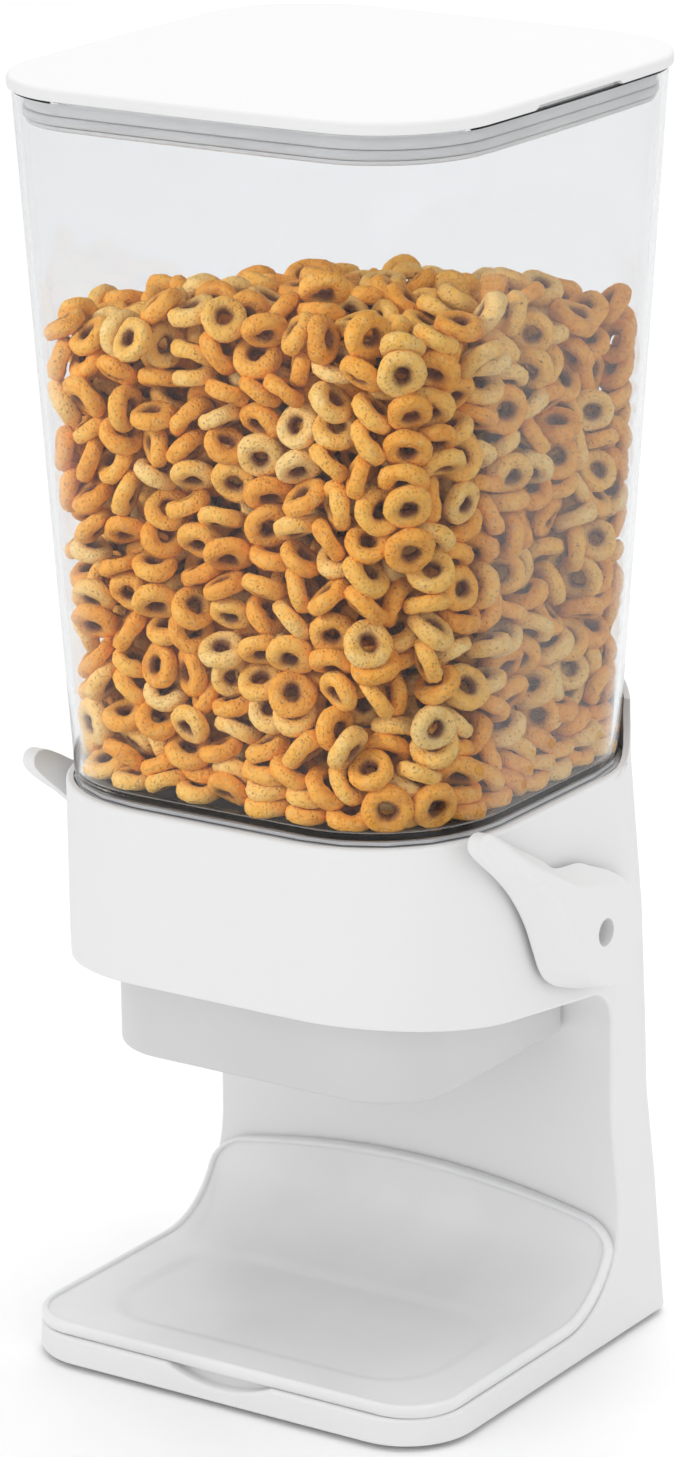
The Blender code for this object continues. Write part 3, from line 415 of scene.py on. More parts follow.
def evenNormals(piece, sharp=35):
    # large flat faces keep flat shading, and the small radii between them shade smoothly
    piece.data.shade_smooth()
    piece.data.set_sharp_from_angle(angle=math.radians(sharp))
    weigh = piece.modifiers.new("evenNormals", "WEIGHTED_NORMAL")
    weigh.keep_sharp = True
    applyModifiers(piece)
    return piece


# Stand: one moulding, from the base up the column into the housing.
stand = {
    "wall": 2.4 * mm, "footHeight": 1.8 * mm, "baseHalf": 84 * mm, "baseFront": -85 * mm,
    "baseRear": 68.5 * mm, "baseFrontRadius": 25 * mm, "baseRearRadius": 9 * mm, "deck": 11.4 * mm,
    "deckFillet": 35 * mm, "columnFront": 36.5 * mm, "columnFrontTop": 33 * mm, "columnLow": 50 * mm,
    "columnHigh": 110 * mm, "waist": 80 * mm, "waistHalf": 79.7 * mm, "archFillet": 14 * mm,
    "housingHalf": 82 * mm, "housingRear": 82.5 * mm, "housingFrontRadius": 51 * mm,
    "housingRearRadius": 55 * mm, "undersideFront": 141 * mm, "undersideSlope": 0.1376, "wideFrom": 147 * mm,
    "top": 200.5 * mm, "backrestTop": 224 * mm, "backrestFront": 40 * mm, "backrestFillet": 18 * mm,
    "scoopHalf": 21 * mm, "scoopDrop": 4.5 * mm, "scoopDepth": 6 * mm, "edge": 1.3 * mm,
    "pivot": (4 * mm, 157 * mm), "bushHole": 5.0 * mm, "overhangFrom": 50 * mm, "overhangTo": 105 * mm,
    "rearRounding": 1.3,
}
farOut = 120 * mm  # past the stand in front, behind and above
pastSides = 100 * mm  # past both its sides


def standPlan(z, inset=0.0):
    if z < stand["waist"]:
        half = mix(stand["baseHalf"], stand["waistHalf"], share(0, stand["waist"], z))
    else:
        climb = share(stand["waist"], stand["wideFrom"], z)
        half = mix(stand["waistHalf"], stand["housingHalf"], climb)
    up = share(0, stand["top"], z)
    rear = mix(stand["baseRear"], stand["housingRear"], up)
    rearRadius = mix(stand["baseRearRadius"], stand["housingRearRadius"], up ** stand["rearRounding"])
    overhang = share(stand["overhangFrom"], stand["overhangTo"], z)  # the bite hides this stretch
    front = mix(stand["baseFront"], -stand["housingHalf"], overhang)
    frontRadius = mix(stand["baseFrontRadius"], stand["housingFrontRadius"], overhang)
    return roundedPlan(half - inset, front + inset, rear - inset, frontRadius - inset,
                       max(rearRadius - inset, 0.8 * mm))


def underside(y):
    return stand["undersideFront"] - stand["undersideSlope"] * (y + stand["housingHalf"])


def biteOutline(grow):
    # the open room over the tray, seen from the side
    lowCentre = (stand["columnFront"] - stand["deckFillet"], stand["deck"] + stand["deckFillet"])
    archY = stand["columnFrontTop"] - stand["archFillet"]
    highCentre = (archY, underside(archY) - stand["archFillet"])
    return [
        (-farOut, stand["deck"] - grow),
        *arcPoints(lowCentre, stand["deckFillet"] + grow, -90, 0, 28),
        (stand["columnFront"] + grow, stand["columnLow"]),
        (stand["columnFrontTop"] + grow, stand["columnHigh"]),
        *arcPoints(highCentre, stand["archFillet"] + grow, 0, 90, 18),
        (-farOut, underside(-farOut) + grow),
    ]


def scoopRod(name, grow):
    radius = (stand["scoopHalf"] ** 2 + stand["scoopDrop"] ** 2) / (2 * stand["scoopDrop"])
    z = stand["deck"] - stand["scoopDrop"] + radius
    turns = [2 * math.pi * k / 240 for k in range(240)]
    rings = [[Vector(((radius + grow) * math.cos(t), y, z + (radius + grow) * math.sin(t))) for t in turns]
             for y in (stand["baseFront"] - 0.01, stand["baseFront"] + stand["scoopDepth"] + grow)]
    return skinRings(name, rings)


# Hopper: clear, tapered, and open below through its spigot.
hopper = {
    "bottom": 202.3 * mm, "top": 430.5 * mm, "halfBottom": 78.5 * mm, "halfTop": 85.4 * mm,
    "frontRadius": 46 * mm, "rearRadius": 52 * mm, "radiusTop": 36.5 * mm, "swell": 1.8 * mm,
    "wall": 2.2 * mm, "spigotHalf": 73.5 * mm, "spigotRadius": 46 * mm, "spigotDepth": 8.8 * mm,
    "spigotWall": 1.8 * mm, "edge": 1.2 * mm, "clearance": 0.6 * mm, "brim": 0.5 * mm,
    "floorFillet": 0.9 * mm,
}


def hopperRing(z, inset=0.0):
    up = share(hopper["bottom"], hopper["top"], z)
    half = mix(hopper["halfBottom"], hopper["halfTop"], up) - inset
    front = mix(hopper["frontRadius"], hopper["radiusTop"], up) - inset
    rear = mix(hopper["rearRadius"], hopper["radiusTop"], up) - inset
    swell = hopper["swell"] * up
    return atHeight(roundedPlan(half, -half, half, front, rear, swell, cornerSteps=24, sideSteps=6), z)


# Chute: the outlet under the housing.
chute = {
    "half": 63 * mm, "rear": 32.4 * mm, "radius": 25 * mm, "rearRadius": 4.2 * mm, "wall": 2.2 * mm,
    "bottom": 108.5 * mm, "top": 148.5 * mm, "flange": 10.5 * mm, "flangeThick": 2 * mm,
    "edge": 1.6 * mm,
}


def chutePlan(inset):
    return roundedPlan(chute["half"] - inset, inset - chute["half"], chute["rear"] - inset,
                       chute["radius"] - inset, chute["rearRadius"] - inset)


def makeStand():
    # no station lies in a plane that the cuts below use
    heights = [stand["footHeight"], stand["overhangFrom"], stand["waist"], stand["overhangTo"],
               stand["wideFrom"], stand["top"] + 0.3 * mm, stand["backrestTop"] + 5 * mm]
    skin = skinRings("standMoulding", [atHeight(standPlan(z), z) for z in heights])
    carve(skin, sidePrism("bite", biteOutline(0), pastSides))
    rest, restTop, fillet = stand["backrestFront"], stand["backrestTop"], stand["backrestFillet"]
    over = [(-farOut, stand["top"]), *arcPoints((rest, stand["top"] + fillet), fillet, -90, 0, 16),
            (rest + 26 * mm, restTop - 2.5 * mm), (rest + 32 * mm, restTop), (farOut, restTop),
            (farOut, restTop + 50 * mm), (-farOut, restTop + 50 * mm)]
    carve(skin, sidePrism("over", over, pastSides))
    carve(skin, scoopRod("scoop", 0))
    aboveTop = stand["top"] + 0.1 * mm
    softenEdges(skin, stand["edge"], lambda middle: 0.3 if middle.z > aboveTop else 1.0)

    # hollow inside, open at the foot
    wall = stand["wall"]
    stations = [-0.01, 0, *heights[1:-1], stand["backrestTop"] + 0.02]
    room = skinRings("room", [atHeight(standPlan(z, wall), z) for z in stations])
    carve(room, sidePrism("biteWall", biteOutline(wall), pastSides + 10 * mm))
    carve(room, scoopRod("scoopWall", wall - 0.3 * mm))
    carve(skin, room)
    hopperRoom = [hopperRing(z, -hopper["clearance"]) for z in (stand["top"], hopper["top"])]
    carve(skin, skinRings("hopperWay", hopperRoom))
    hole = chutePlan(-0.3 * mm)
    carve(skin, skinRings("chuteHole", [atHeight(hole, z) for z in (100 * mm, 170 * mm)]))
    y, z = stand["pivot"]
    for way in (-1, 1):
        carve(skin, rodAlongX("bushHole", stand["bushHole"], way * 70 * mm, way * 90 * mm, y, z))
    evenNormals(skin)
    skin.data.materials.append(whiteAbs)
    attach(skin, "stand")
    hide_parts("base_shell", "column_shell", "housing_shell")


makeStand()
print("stand made")


def roundOver(z, inset, radius, turn, steps=6):
    # (z, inset) points round one edge. turn gives the quarter, as start and end angles.
    return [(z + radius * math.sin(math.radians(a)), inset - radius * math.cos(math.radians(a)))
            for a in np.linspace(turn[0], turn[1], steps)]


def makeChute():
    low, top, edge, wall = chute["bottom"], chute["top"], chute["edge"], chute["wall"]
    wide = chute["half"] + chute["flange"]
    plate = roundedPlan(wide, -chute["half"] - 2 * mm, chute["rear"] + 2 * mm, chute["radius"], 3 * mm)
    under = top - chute["flangeThick"]
    rings = [atHeight(chutePlan(inset), z) for z, inset in roundOver(low + edge, edge, edge, (-90, 0))]
    rings += [atHeight(chutePlan(0), under), atHeight(plate, under), atHeight(plate, top)]
    rings += [atHeight(chutePlan(wall), top), atHeight(chutePlan(wall), low + 0.4 * mm)]
    rings += [atHeight(chutePlan(wall - 0.4 * mm), low)]
    skin = openTube("dischargeChute", rings, whiteAbs)
    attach(skin, "stand")
    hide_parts("discharge_chute")


makeChute()
print("chute made")


def makeHopper():
    low, top, wall, edge = hopper["bottom"], hopper["top"], hopper["wall"], hopper["edge"]
    spigotHalf, spigotRadius, spigotWall = (hopper["spigot" + key] for key in ("Half", "Radius", "Wall"))
    tight = squarePlan(spigotHalf, spigotRadius, cornerSteps=24, sideSteps=6)
    bore = squarePlan(spigotHalf - spigotWall, spigotRadius - spigotWall, cornerSteps=24, sideSteps=6)
    spigotLow = low - hopper["spigotDepth"]
    brim, floor, fillet = hopper["brim"], low + wall, hopper["floorFillet"]
    lip = brim - 0.1 * mm
    rings = [atHeight(bore, spigotLow), atHeight(tight, spigotLow), atHeight(tight, low)]
    rings += [hopperRing(z, inset) for z, inset in roundOver(low + edge, edge, edge, (-90, 0), 7)]
    rings += [hopperRing(z) for z in np.linspace(low + edge, top - brim, 9)[1:]]
    rings += [hopperRing(top, brim), hopperRing(top, wall - lip), hopperRing(top - lip, wall)]
    rings += [hopperRing(z, wall) for z in np.linspace(top - lip, floor + fillet, 9)[1:]]
    rings += [hopperRing(floor + fillet * (1 - math.sin(a)), wall + fillet * (1 - math.cos(a)))
              for a in np.linspace(0, math.pi / 2, 6)[1:]]
    rings += [atHeight(bore, floor)]
    skin = openTube("clearHopper", rings, clearSan, sharp=40)
    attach(skin, "hopper")
    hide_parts("hopper")


makeHopper()
print("hopper made")


# Lid: a thin plate with a hollow plug and a seal under it.
lid = {
    "low": 430.8 * mm, "thick": 4.2 * mm, "half": 86.2 * mm, "radius": 36 * mm, "swell": 2.2 * mm,
    "edge": 1.4 * mm, "notchDepth": 1.6 * mm, "plugDepth": 9.8 * mm, "plugWall": 2 * mm,
    "plugClearance": 1.4 * mm, "sealHeight": 3.6 * mm, "sealReach": 0.9 * mm,
}


def makeLid():
    low, top = lid["low"], lid["low"] + lid["thick"]

    def plate(z, inset):
        return atHeight(squarePlan(lid["half"] - inset, lid["radius"] - inset, lid["swell"],
                                   cornerSteps=28, sideSteps=10), z)

    edge = lid["edge"]
    rings = [plate(low, 0.6 * mm), plate(low + 0.18 * mm, 0.18 * mm), plate(low + 0.6 * mm, 0)]
    rings += [plate(z, inset) for z, inset in roundOver(top - edge, edge, edge, (0, 90), 7)]
    rings += [plate(top, 8 * mm)]
    skin = skinRings("lidPlate", rings)
    rise, reach = lid["notchDepth"], lid["half"] + lid["swell"]
    notch = [(-28 * mm, low - 2 * mm), (30 * mm, low - 2 * mm), (25 * mm, low + rise),
             (-23 * mm, low + rise)]
    tool = sidePrism("notch", notch, 10 * mm)
    tool.location.x = reach + 6.5 * mm
    carve(skin, tool)
    evenNormals(skin, 40)
    skin.data.materials.append(glossAbs)
    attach(skin, "lid")
    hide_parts("lid_plate")

    def skirt(z, inset):
        return hopperRing(z, hopper["wall"] + lid["plugClearance"] + inset)

    plugTop = low - 0.3 * mm
    plugLow = plugTop - lid["plugDepth"]
    grooveLow = plugLow + 1.5 * mm
    grooveHigh = grooveLow + lid["sealHeight"]
    deep = 1 * mm
    inner = deep + lid["plugWall"]
    rings = [skirt(plugTop, 0), skirt(grooveHigh, 0), skirt(grooveHigh, deep), skirt(grooveLow, deep),
             skirt(grooveLow, 0), skirt(plugLow + 0.5 * mm, 0), skirt(plugLow, 0.5 * mm),
             skirt(plugLow, inner - 0.5 * mm), skirt(plugLow + 0.5 * mm, inner),
             skirt(plugTop - lid["plugWall"] - 1 * mm, inner),
             skirt(plugTop - lid["plugWall"], inner + 1 * mm)]
    plug = skinRings("lidPlug", rings, milkyPp)
    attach(plug, "lid")
    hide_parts("lid_plug")

    sealLow, sealHigh, reach = grooveLow + 0.3 * mm, grooveHigh - 0.3 * mm, lid["sealReach"]
    middle, half = (sealLow + sealHigh) / 2, (sealHigh - sealLow) / 2
    bulge = [(middle + half * math.sin(a), -reach * math.cos(a) ** 0.7) for a in np.linspace(-1.45, 1.45, 11)]
    rings = [skirt(z, inset) for z, inset in bulge]
    rings += [skirt(sealHigh, deep - 0.3 * mm), skirt(sealLow, deep - 0.3 * mm)]
    # the seal's whitened silicone is painted light for the shade under the lid
    seal = openTube("lidSeal", rings, siliconeWithPaintedLight)
    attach(seal, "lid")
    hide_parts("lid_seal")


makeLid()
print("lid made")


# Catch tray: a dished sheet that follows the deck and climbs the column.
tray = {
    "half": 81.8 * mm, "front": -83.2 * mm, "radius": 19.5 * mm, "topRadius": 12 * mm, "rim": 4.4 * mm,
    "shelf": 3.0 * mm, "floor": 1.4 * mm, "lipWidth": 2.4 * mm, "border": 13 * mm, "dishRadius": 22 * mm,
    "dishStep": 7 * mm, "crownDrop": 10.5 * mm, "topHeight": 50 * mm, "gap": 0.3 * mm,
}


def makeTray():
    bend = stand["deckFillet"] - tray["gap"]
    centreY = stand["columnFront"] - tray["gap"] - bend
    centreZ = stand["deck"] + tray["gap"] + bend
    flatLength = centreY - tray["front"]
    curved = bend * math.pi / 2
    reach = flatLength + curved + tray["topHeight"] - centreZ

    def onSheet(x, s, lift):
        # x across, s along the underside from the front edge, lift from the underside inwards
        if s < flatLength:
            return Vector((x, tray["front"] + s, centreZ - bend + lift))
        if s > flatLength + curved:
            return Vector((x, centreY + bend - lift, centreZ + s - flatLength - curved))
        turn = (s - flatLength) / bend
        radius = bend - lift
        return Vector((x, centreY + radius * math.sin(turn), centreZ - radius * math.cos(turn)))

    def outer(inset):
        plan = roundedPlan(tray["half"] - inset, inset, reach - inset, tray["radius"] - inset,
                           max(tray["topRadius"] - inset, 1.5 * mm), sideSteps=24)
        drop = tray["crownDrop"] / tray["half"] ** 2
        return [Vector((p.x, p.y - drop * p.x ** 2 * share(0.6, 1, p.y / reach))) for p in plan]

    def dish(inset):
        edge = tray["lipWidth"] + tray["border"] + inset
        radius = tray["dishRadius"] - inset / 2
        return roundedPlan(tray["half"] - edge, edge, flatLength + 3 * mm - inset, radius, radius,
                           sideSteps=24)

    def ring(plan, lift):
        return [onSheet(p.x, p.y, lift) for p in plan]

    def blended(planA, planB, amount):
        return [a.lerp(b, amount) for a, b in zip(planA, planB)]

    middle = Vector((0, flatLength * 0.52))
    under = outer(0.4 * mm)
    rings = [ring(blended(under, [middle] * len(under), u), 0) for u in np.linspace(0.97, 0, 14)]
    rings += [ring(outer(0), 0.4 * mm), ring(outer(0), tray["rim"] - 1.0 * mm)]
    lipMid = tray["lipWidth"] / 2
    for a in np.linspace(0.25, math.pi - 0.25, 8):
        rings.append(ring(outer(lipMid * (1 - math.cos(a))), tray["rim"] - lipMid * (1 - math.sin(a))))
    fillet = 1.2 * mm
    for u in np.linspace(0, 1, 5):
        lift = mix(tray["rim"] - fillet, tray["shelf"], u ** 0.5)
        rings.append(ring(outer(tray["lipWidth"] + fillet * u), lift))
    border, rim = outer(tray["lipWidth"] + fillet + 0.5 * mm), dish(0)
    rings += [ring(blended(border, rim, u), tray["shelf"]) for u in np.linspace(0, 1, 10)]
    for u in np.linspace(0, 1, 9)[1:]:
        lift = mix(tray["shelf"], tray["floor"], u * u * (3 - 2 * u))
        rings.append(ring(dish(tray["dishStep"] * u), lift))
    last = dish(tray["dishStep"])
    rings += [ring(blended(last, [middle] * len(last), u), tray["floor"])
              for u in np.linspace(0.04, 0.985, 16)]
    skin = skinRings("catchTray", rings, satinPp, sharp=60)
    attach(skin, "tray")
    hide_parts("catch_tray")


makeTray()
print("tray made")


# Levers: a thumb pad in front, and a round hub over the axle.
lever = {
    "inner": 84.5 * mm, "thick": 11.5 * mm, "recess": 4.7 * mm, "recessDepth": 5.8 * mm, "bore": 3.3 * mm,
    "edge": 0.9 * mm, "tipThick": 5.0 * mm,
}
# Side outlines from the pivot, as (y, z) in millimetres: against the housing, and on the outer face.
leverInside = (
    (-65.3, 44.2), (-49.0, 29.9), (-39.8, 20.5), (-31.8, 9.0), (-23.6, -8.0), (-16.5, -14.8), (-5.0, -19.6),
    (6.0, -22.5), (18.0, -21.5), (28.0, -15.0), (33.5, -4.0), (32.5, 4.5), (27.0, 9.5), (18.0, 14.5),
    (9.0, 18.2), (0.0, 21.8), (-14.0, 24.0), (-24.0, 30.0), (-41.0, 39.5), (-60.3, 49.2),
)
leverOutside = (
    (-48.0, 33.5), (-38.0, 26.2), (-30.0, 19.0), (-21.0, 7.0), (-14.0, -5.0), (-8.5, -14.0), (-2.5, -17.5),
    (5.5, -20.0), (13.0, -18.5), (20.0, -12.0), (23.2, -3.0), (22.2, 4.5), (19.0, 9.0), (13.0, 12.0),
    (4.0, 15.2), (-5.0, 17.5), (-16.0, 20.5), (-24.0, 24.5), (-35.0, 30.5), (-44.5, 35.0),
)


def smoothLoop(corners, steps):
    # a closed curve through every corner
    count = len(corners)
    points = []
    for i in range(count):
        a, b, c, d = (Vector(corners[(i + k) % count]) * mm for k in (-1, 0, 1, 2))
        for step in range(steps):
            t = step / steps
            points.append(0.5 * (2 * b + (c - a) * t + (2 * a - 5 * b + 4 * c - d) * t ** 2
                                 + (3 * b - a - 3 * c + d) * t ** 3))
    return points


def drawnIn(loop, amount):
    # the loop moved inwards by this much, along its own normals
    moved = []
    for i, point in enumerate(loop):
        along = (loop[(i + 1) % len(loop)] - loop[i - 1]).normalized()
        moved.append(point + Vector((-along.y, along.x)) * amount)
    return moved


def makeLevers():
    inside, outside = smoothLoop(leverInside, 10), smoothLoop(leverOutside, 10)
    inner, thick, edge = lever["inner"], lever["thick"], lever["edge"]
    outer, past = inner + thick, 10 * mm
    shoulder = outer - lever["recessDepth"]
    pivotY, pivotZ = stand["pivot"]
    # each ring: how deep from the housing side, and how far it is drawn in to round the edge
    stations = [(0, 0.5 * mm), (0.15 * mm, 0.15 * mm), (0.5 * mm, 0)]
    stations += [(mix(1.0 * mm, thick - edge, u), 0) for u in np.linspace(0.0, 1, 14)]
    stations += [(thick - edge * (1 - math.sin(a)), edge * (1 - math.cos(a)) * 0.6)
                 for a in np.linspace(0, math.pi / 2, 6)[1:]]

    def slant(depth, y):
        # the slanted face starts near the housing, but the tip keeps its thickness
        start = mix(0.8 * mm, lever["tipThick"], share(-40 * mm, -60 * mm, y))
        return share(start, thick - 0.3 * mm, depth)

    for sideName, way in (("Left", -1), ("Right", 1)):
        rings = []
        for depth, draw in stations:
            loop = drawnIn([a.lerp(b, slant(depth, a.x)) for a, b in zip(inside, outside)], draw)
            rings.append([Vector((way * (inner + depth), pivotY + p.x, pivotZ + p.y)) for p in loop])
        skin = skinRings("lever" + sideName, rings)
        carve(skin, rodAlongX("bore", lever["bore"], way * (inner - past), way * outer, pivotY, pivotZ, 64))
        carve(skin, rodAlongX("recess", lever["recess"], way * shoulder, way * (outer + past),
                              pivotY, pivotZ, 96))
        evenNormals(skin, 38)
        skin.data.materials.append(whiteAbs)
        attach(skin, "levers")
        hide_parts("lever_" + sideName.lower())


makeLevers()
print("levers made")


# The inner pieces keep their solids and get finer materials.
def repaint(names, material):
    for name in names:
        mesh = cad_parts[name].data
        mesh.materials.clear()
        mesh.materials.append(material)
        mesh.shade_smooth()
        mesh.set_sharp_from_angle(angle=math.radians(30))


repaint(("base_plate", "hopper_funnel"), whiteAbs)
repaint(("gate_flap",), milkyPp)
repaint(("gate_seal",), greySilicone)
repaint(("foot_1", "foot_2", "foot_3", "foot_4"), darkRubber)
repaint(("hopper_gasket",), greySilicone)
repaint(("axle_bush_left", "axle_bush_right"), ivoryNylon)
steelStarts = ("axle_l", "axle_r", "return")
repaint([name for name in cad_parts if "screw" in name or name.startswith(steelStarts)], platedSteel)
print("inner pieces finished")


# Cereal: baked oat rings that lie as they fell, the outer layer of the heap.
cereal = {
    "seed": 11, "radius": 4.95 * mm, "tube": 2.8 * mm, "spacing": 13.4 * mm, "wallGap": 0.3 * mm,
    "layer": 42 * mm, "middleTop": 368 * mm, "tiltX": 0.10, "tiltY": -0.15, "dome": 1.1,
    "sink": 0.0016, "weight": 0.12 * mm, "steps": 150, "quickSteps": 25, "around": 20, "across": 10,
    "pieces": 6, "facing": 0.12,
}


def wallDistance(points):
    # how far inside (negative) or outside the hopper's inner wall, and the way out
    up = np.clip((points[:, 2] - hopper["bottom"]) / (hopper["top"] - hopper["bottom"]), 0, 1)
    inset = hopper["wall"] + cereal["wallGap"]
    half = hopper["halfBottom"] + (hopper["halfTop"] - hopper["halfBottom"]) * up - inset
    low = np.where(points[:, 1] < 0, hopper["frontRadius"], hopper["rearRadius"])
    corner = low + (hopper["radiusTop"] - low) * up - inset
    q = np.abs(points[:, :2]) - (half - corner)[:, None]
    outside = np.maximum(q, 0)
    length = np.linalg.norm(outside, axis=1)
    distance = length + np.minimum(q.max(axis=1), 0) - corner
    flat = np.where((q[:, 0] > q[:, 1])[:, None], (1.0, 0.0), (0.0, 1.0))
    way = np.where((length > 1e-9)[:, None], outside / np.maximum(length, 1e-9)[:, None], flat)
    return distance, way * np.where(points[:, :2] < 0, -1.0, 1.0)


def fillHeight(points):
    # the heap's top: a low dome that leans a little
    x, y = points[:, 0], points[:, 1]
    dome = cereal["dome"] * (x ** 2 + y ** 2)
    return cereal["middleTop"] + cereal["tiltX"] * x + cereal["tiltY"] * y - dome


def nearPairs(points, owner, reach):
    # every pair of points of two rings that lie within reach, found through a grid of cells
    cell = np.floor((points - points.min(axis=0)) / reach).astype(np.int64) + 1
    stride = cell.max(axis=0) + 3
    key = (cell[:, 0] * stride[1] + cell[:, 1]) * stride[2] + cell[:, 2]
    order = np.argsort(key, kind="stable")
    keys = key[order]
    firsts, seconds = [], []
    steps = (-1, 0, 1)
    offsets = [(x, y, z) for x in steps for y in steps for z in steps if (x, y, z) >= (0, 0, 0)]
    for x, y, z in offsets:
        other = key + (x * stride[1] + y) * stride[2] + z
        first = np.searchsorted(keys, other, "left")
        count = np.searchsorted(keys, other, "right") - first
        a = np.repeat(np.arange(len(points)), count)
        step = np.arange(len(a)) - np.repeat(np.cumsum(count) - count, count)
        b = order[np.repeat(first, count) + step]
        keep = owner[a] != owner[b]
        if (x, y, z) == (0, 0, 0):
            keep &= a < b
        a, b = a[keep], b[keep]
        keep = ((points[a] - points[b]) ** 2).sum(axis=1) < reach ** 2
        firsts.append(a[keep])
        seconds.append(b[keep])
    return np.concatenate(firsts), np.concatenate(seconds)


def settleRings():
    # each ring is eight balls and a small one in its hole: they push apart, sink, and keep their shape
    rng = np.random.default_rng(cereal["seed"])
    radius, tube, spacing = cereal["radius"], cereal["tube"], cereal["spacing"]
    floor = hopper["bottom"] + hopper["wall"]
    turns = np.arange(8) * math.tau / 8
    hoop = np.column_stack((radius * np.cos(turns), radius * np.sin(turns), np.zeros(8)))
    local = np.vstack((hoop, np.zeros(3)))
    sizes = np.append(np.full(8, tube), radius - tube)

    across = np.arange(-6, 7) * spacing
    up = floor + 8 * mm + np.arange(18) * spacing
    centres = np.array([(x, y, z) for z in up for x in across for y in across])
    centres += rng.uniform(-2.8 * mm, 2.8 * mm, centres.shape)
    distance, way = wallDistance(centres)
    inCore = (distance < -cereal["layer"] - 2 * mm) & (centres[:, 2] < fillHeight(centres) - cereal["layer"])
    keep = (distance < -4 * mm) & ~inCore
    centres, distance, way = centres[keep], distance[keep], way[keep]
    count = len(centres)
    # the ring's own axis: any way, and often square to a wall that is close
    axis = rng.normal(size=(count, 3))
    facing = (distance > -12 * mm) & (rng.random(count) < cereal["facing"])
    axis[facing, :2] = way[facing] * 3 + axis[facing, :2] * 0.5
    axis /= np.linalg.norm(axis, axis=1)[:, None]
    side = np.cross(axis, rng.normal(size=(count, 3)))
    side /= np.linalg.norm(side, axis=1)[:, None]
    turn = np.stack((side, np.cross(axis, side), axis), axis=2)
    points = centres[:, None, :] + np.einsum("nij,kj->nki", turn, local)

    def relax(points, rounds, sink, pairEvery=4):
        rings = len(points)
        owner = np.repeat(np.arange(rings), 9)
        size = np.tile(sizes, rings)
        flat = points.reshape(-1, 3)
        for step in range(rounds):
            if sink:
                flat[:, 2] -= sink * (flat[:, 2] - floor) + cereal["weight"]
            if step % pairEvery == 0 or sink:
                a, b = nearPairs(flat, owner, 2 * tube + 1.2 * mm)
            for _ in range(3 if sink else 1):
                apart = flat[a] - flat[b]
                length = np.maximum(np.linalg.norm(apart, axis=1), 1e-7)
                overlap = size[a] + size[b] - length
                hit = overlap > 0
                i, j = a[hit], b[hit]
                push = apart[hit] * (overlap[hit] / length[hit] / 2)[:, None]
                number = np.bincount(i, minlength=len(flat)) + np.bincount(j, minlength=len(flat))
                for k in range(3):
                    total = np.bincount(i, push[:, k], len(flat)) - np.bincount(j, push[:, k], len(flat))
                    flat[:, k] += 1.6 * total / np.maximum(number, 1)
                distance, way = wallDistance(flat)
                out = np.maximum(distance + size, 0)
                flat[:, :2] -= way * out[:, None]
                inward = -cereal["layer"] - distance + size
                above = fillHeight(flat) - cereal["layer"] + size - flat[:, 2]
                inside = (inward > 0) & (above > 0)
                sideways = inside & (inward < above)
                flat[sideways, :2] += way[sideways] * inward[sideways, None]
                upwards = inside & ~sideways
                flat[upwards, 2] += above[upwards]
                flat[:, 2] = np.maximum(flat[:, 2], floor + size)
                grouped = flat.reshape(rings, 9, 3)
                centre = grouped.mean(axis=1)
                spread = np.einsum("nki,kj->nij", grouped - centre[:, None, :], local)
                left, _, right = np.linalg.svd(spread)
                flip = np.linalg.det(left @ right)
                left[:, :, 2] *= flip[:, None]
                turn = left @ right
                flat = (centre[:, None, :] + np.einsum("nij,kj->nki", turn, local)).reshape(-1, 3)
        return flat.reshape(rings, 9, 3), turn

    steps = cereal["steps"]
    points, turn = relax(points, steps, cereal["sink"])
    centre = points.mean(axis=1)
    trim = centre[:, 2] < fillHeight(centre) - 3 * mm + rng.uniform(-3 * mm, 2 * mm, len(centre))
    points, turn = relax(points[trim], 60, 0)
    return points.mean(axis=1), turn, rng


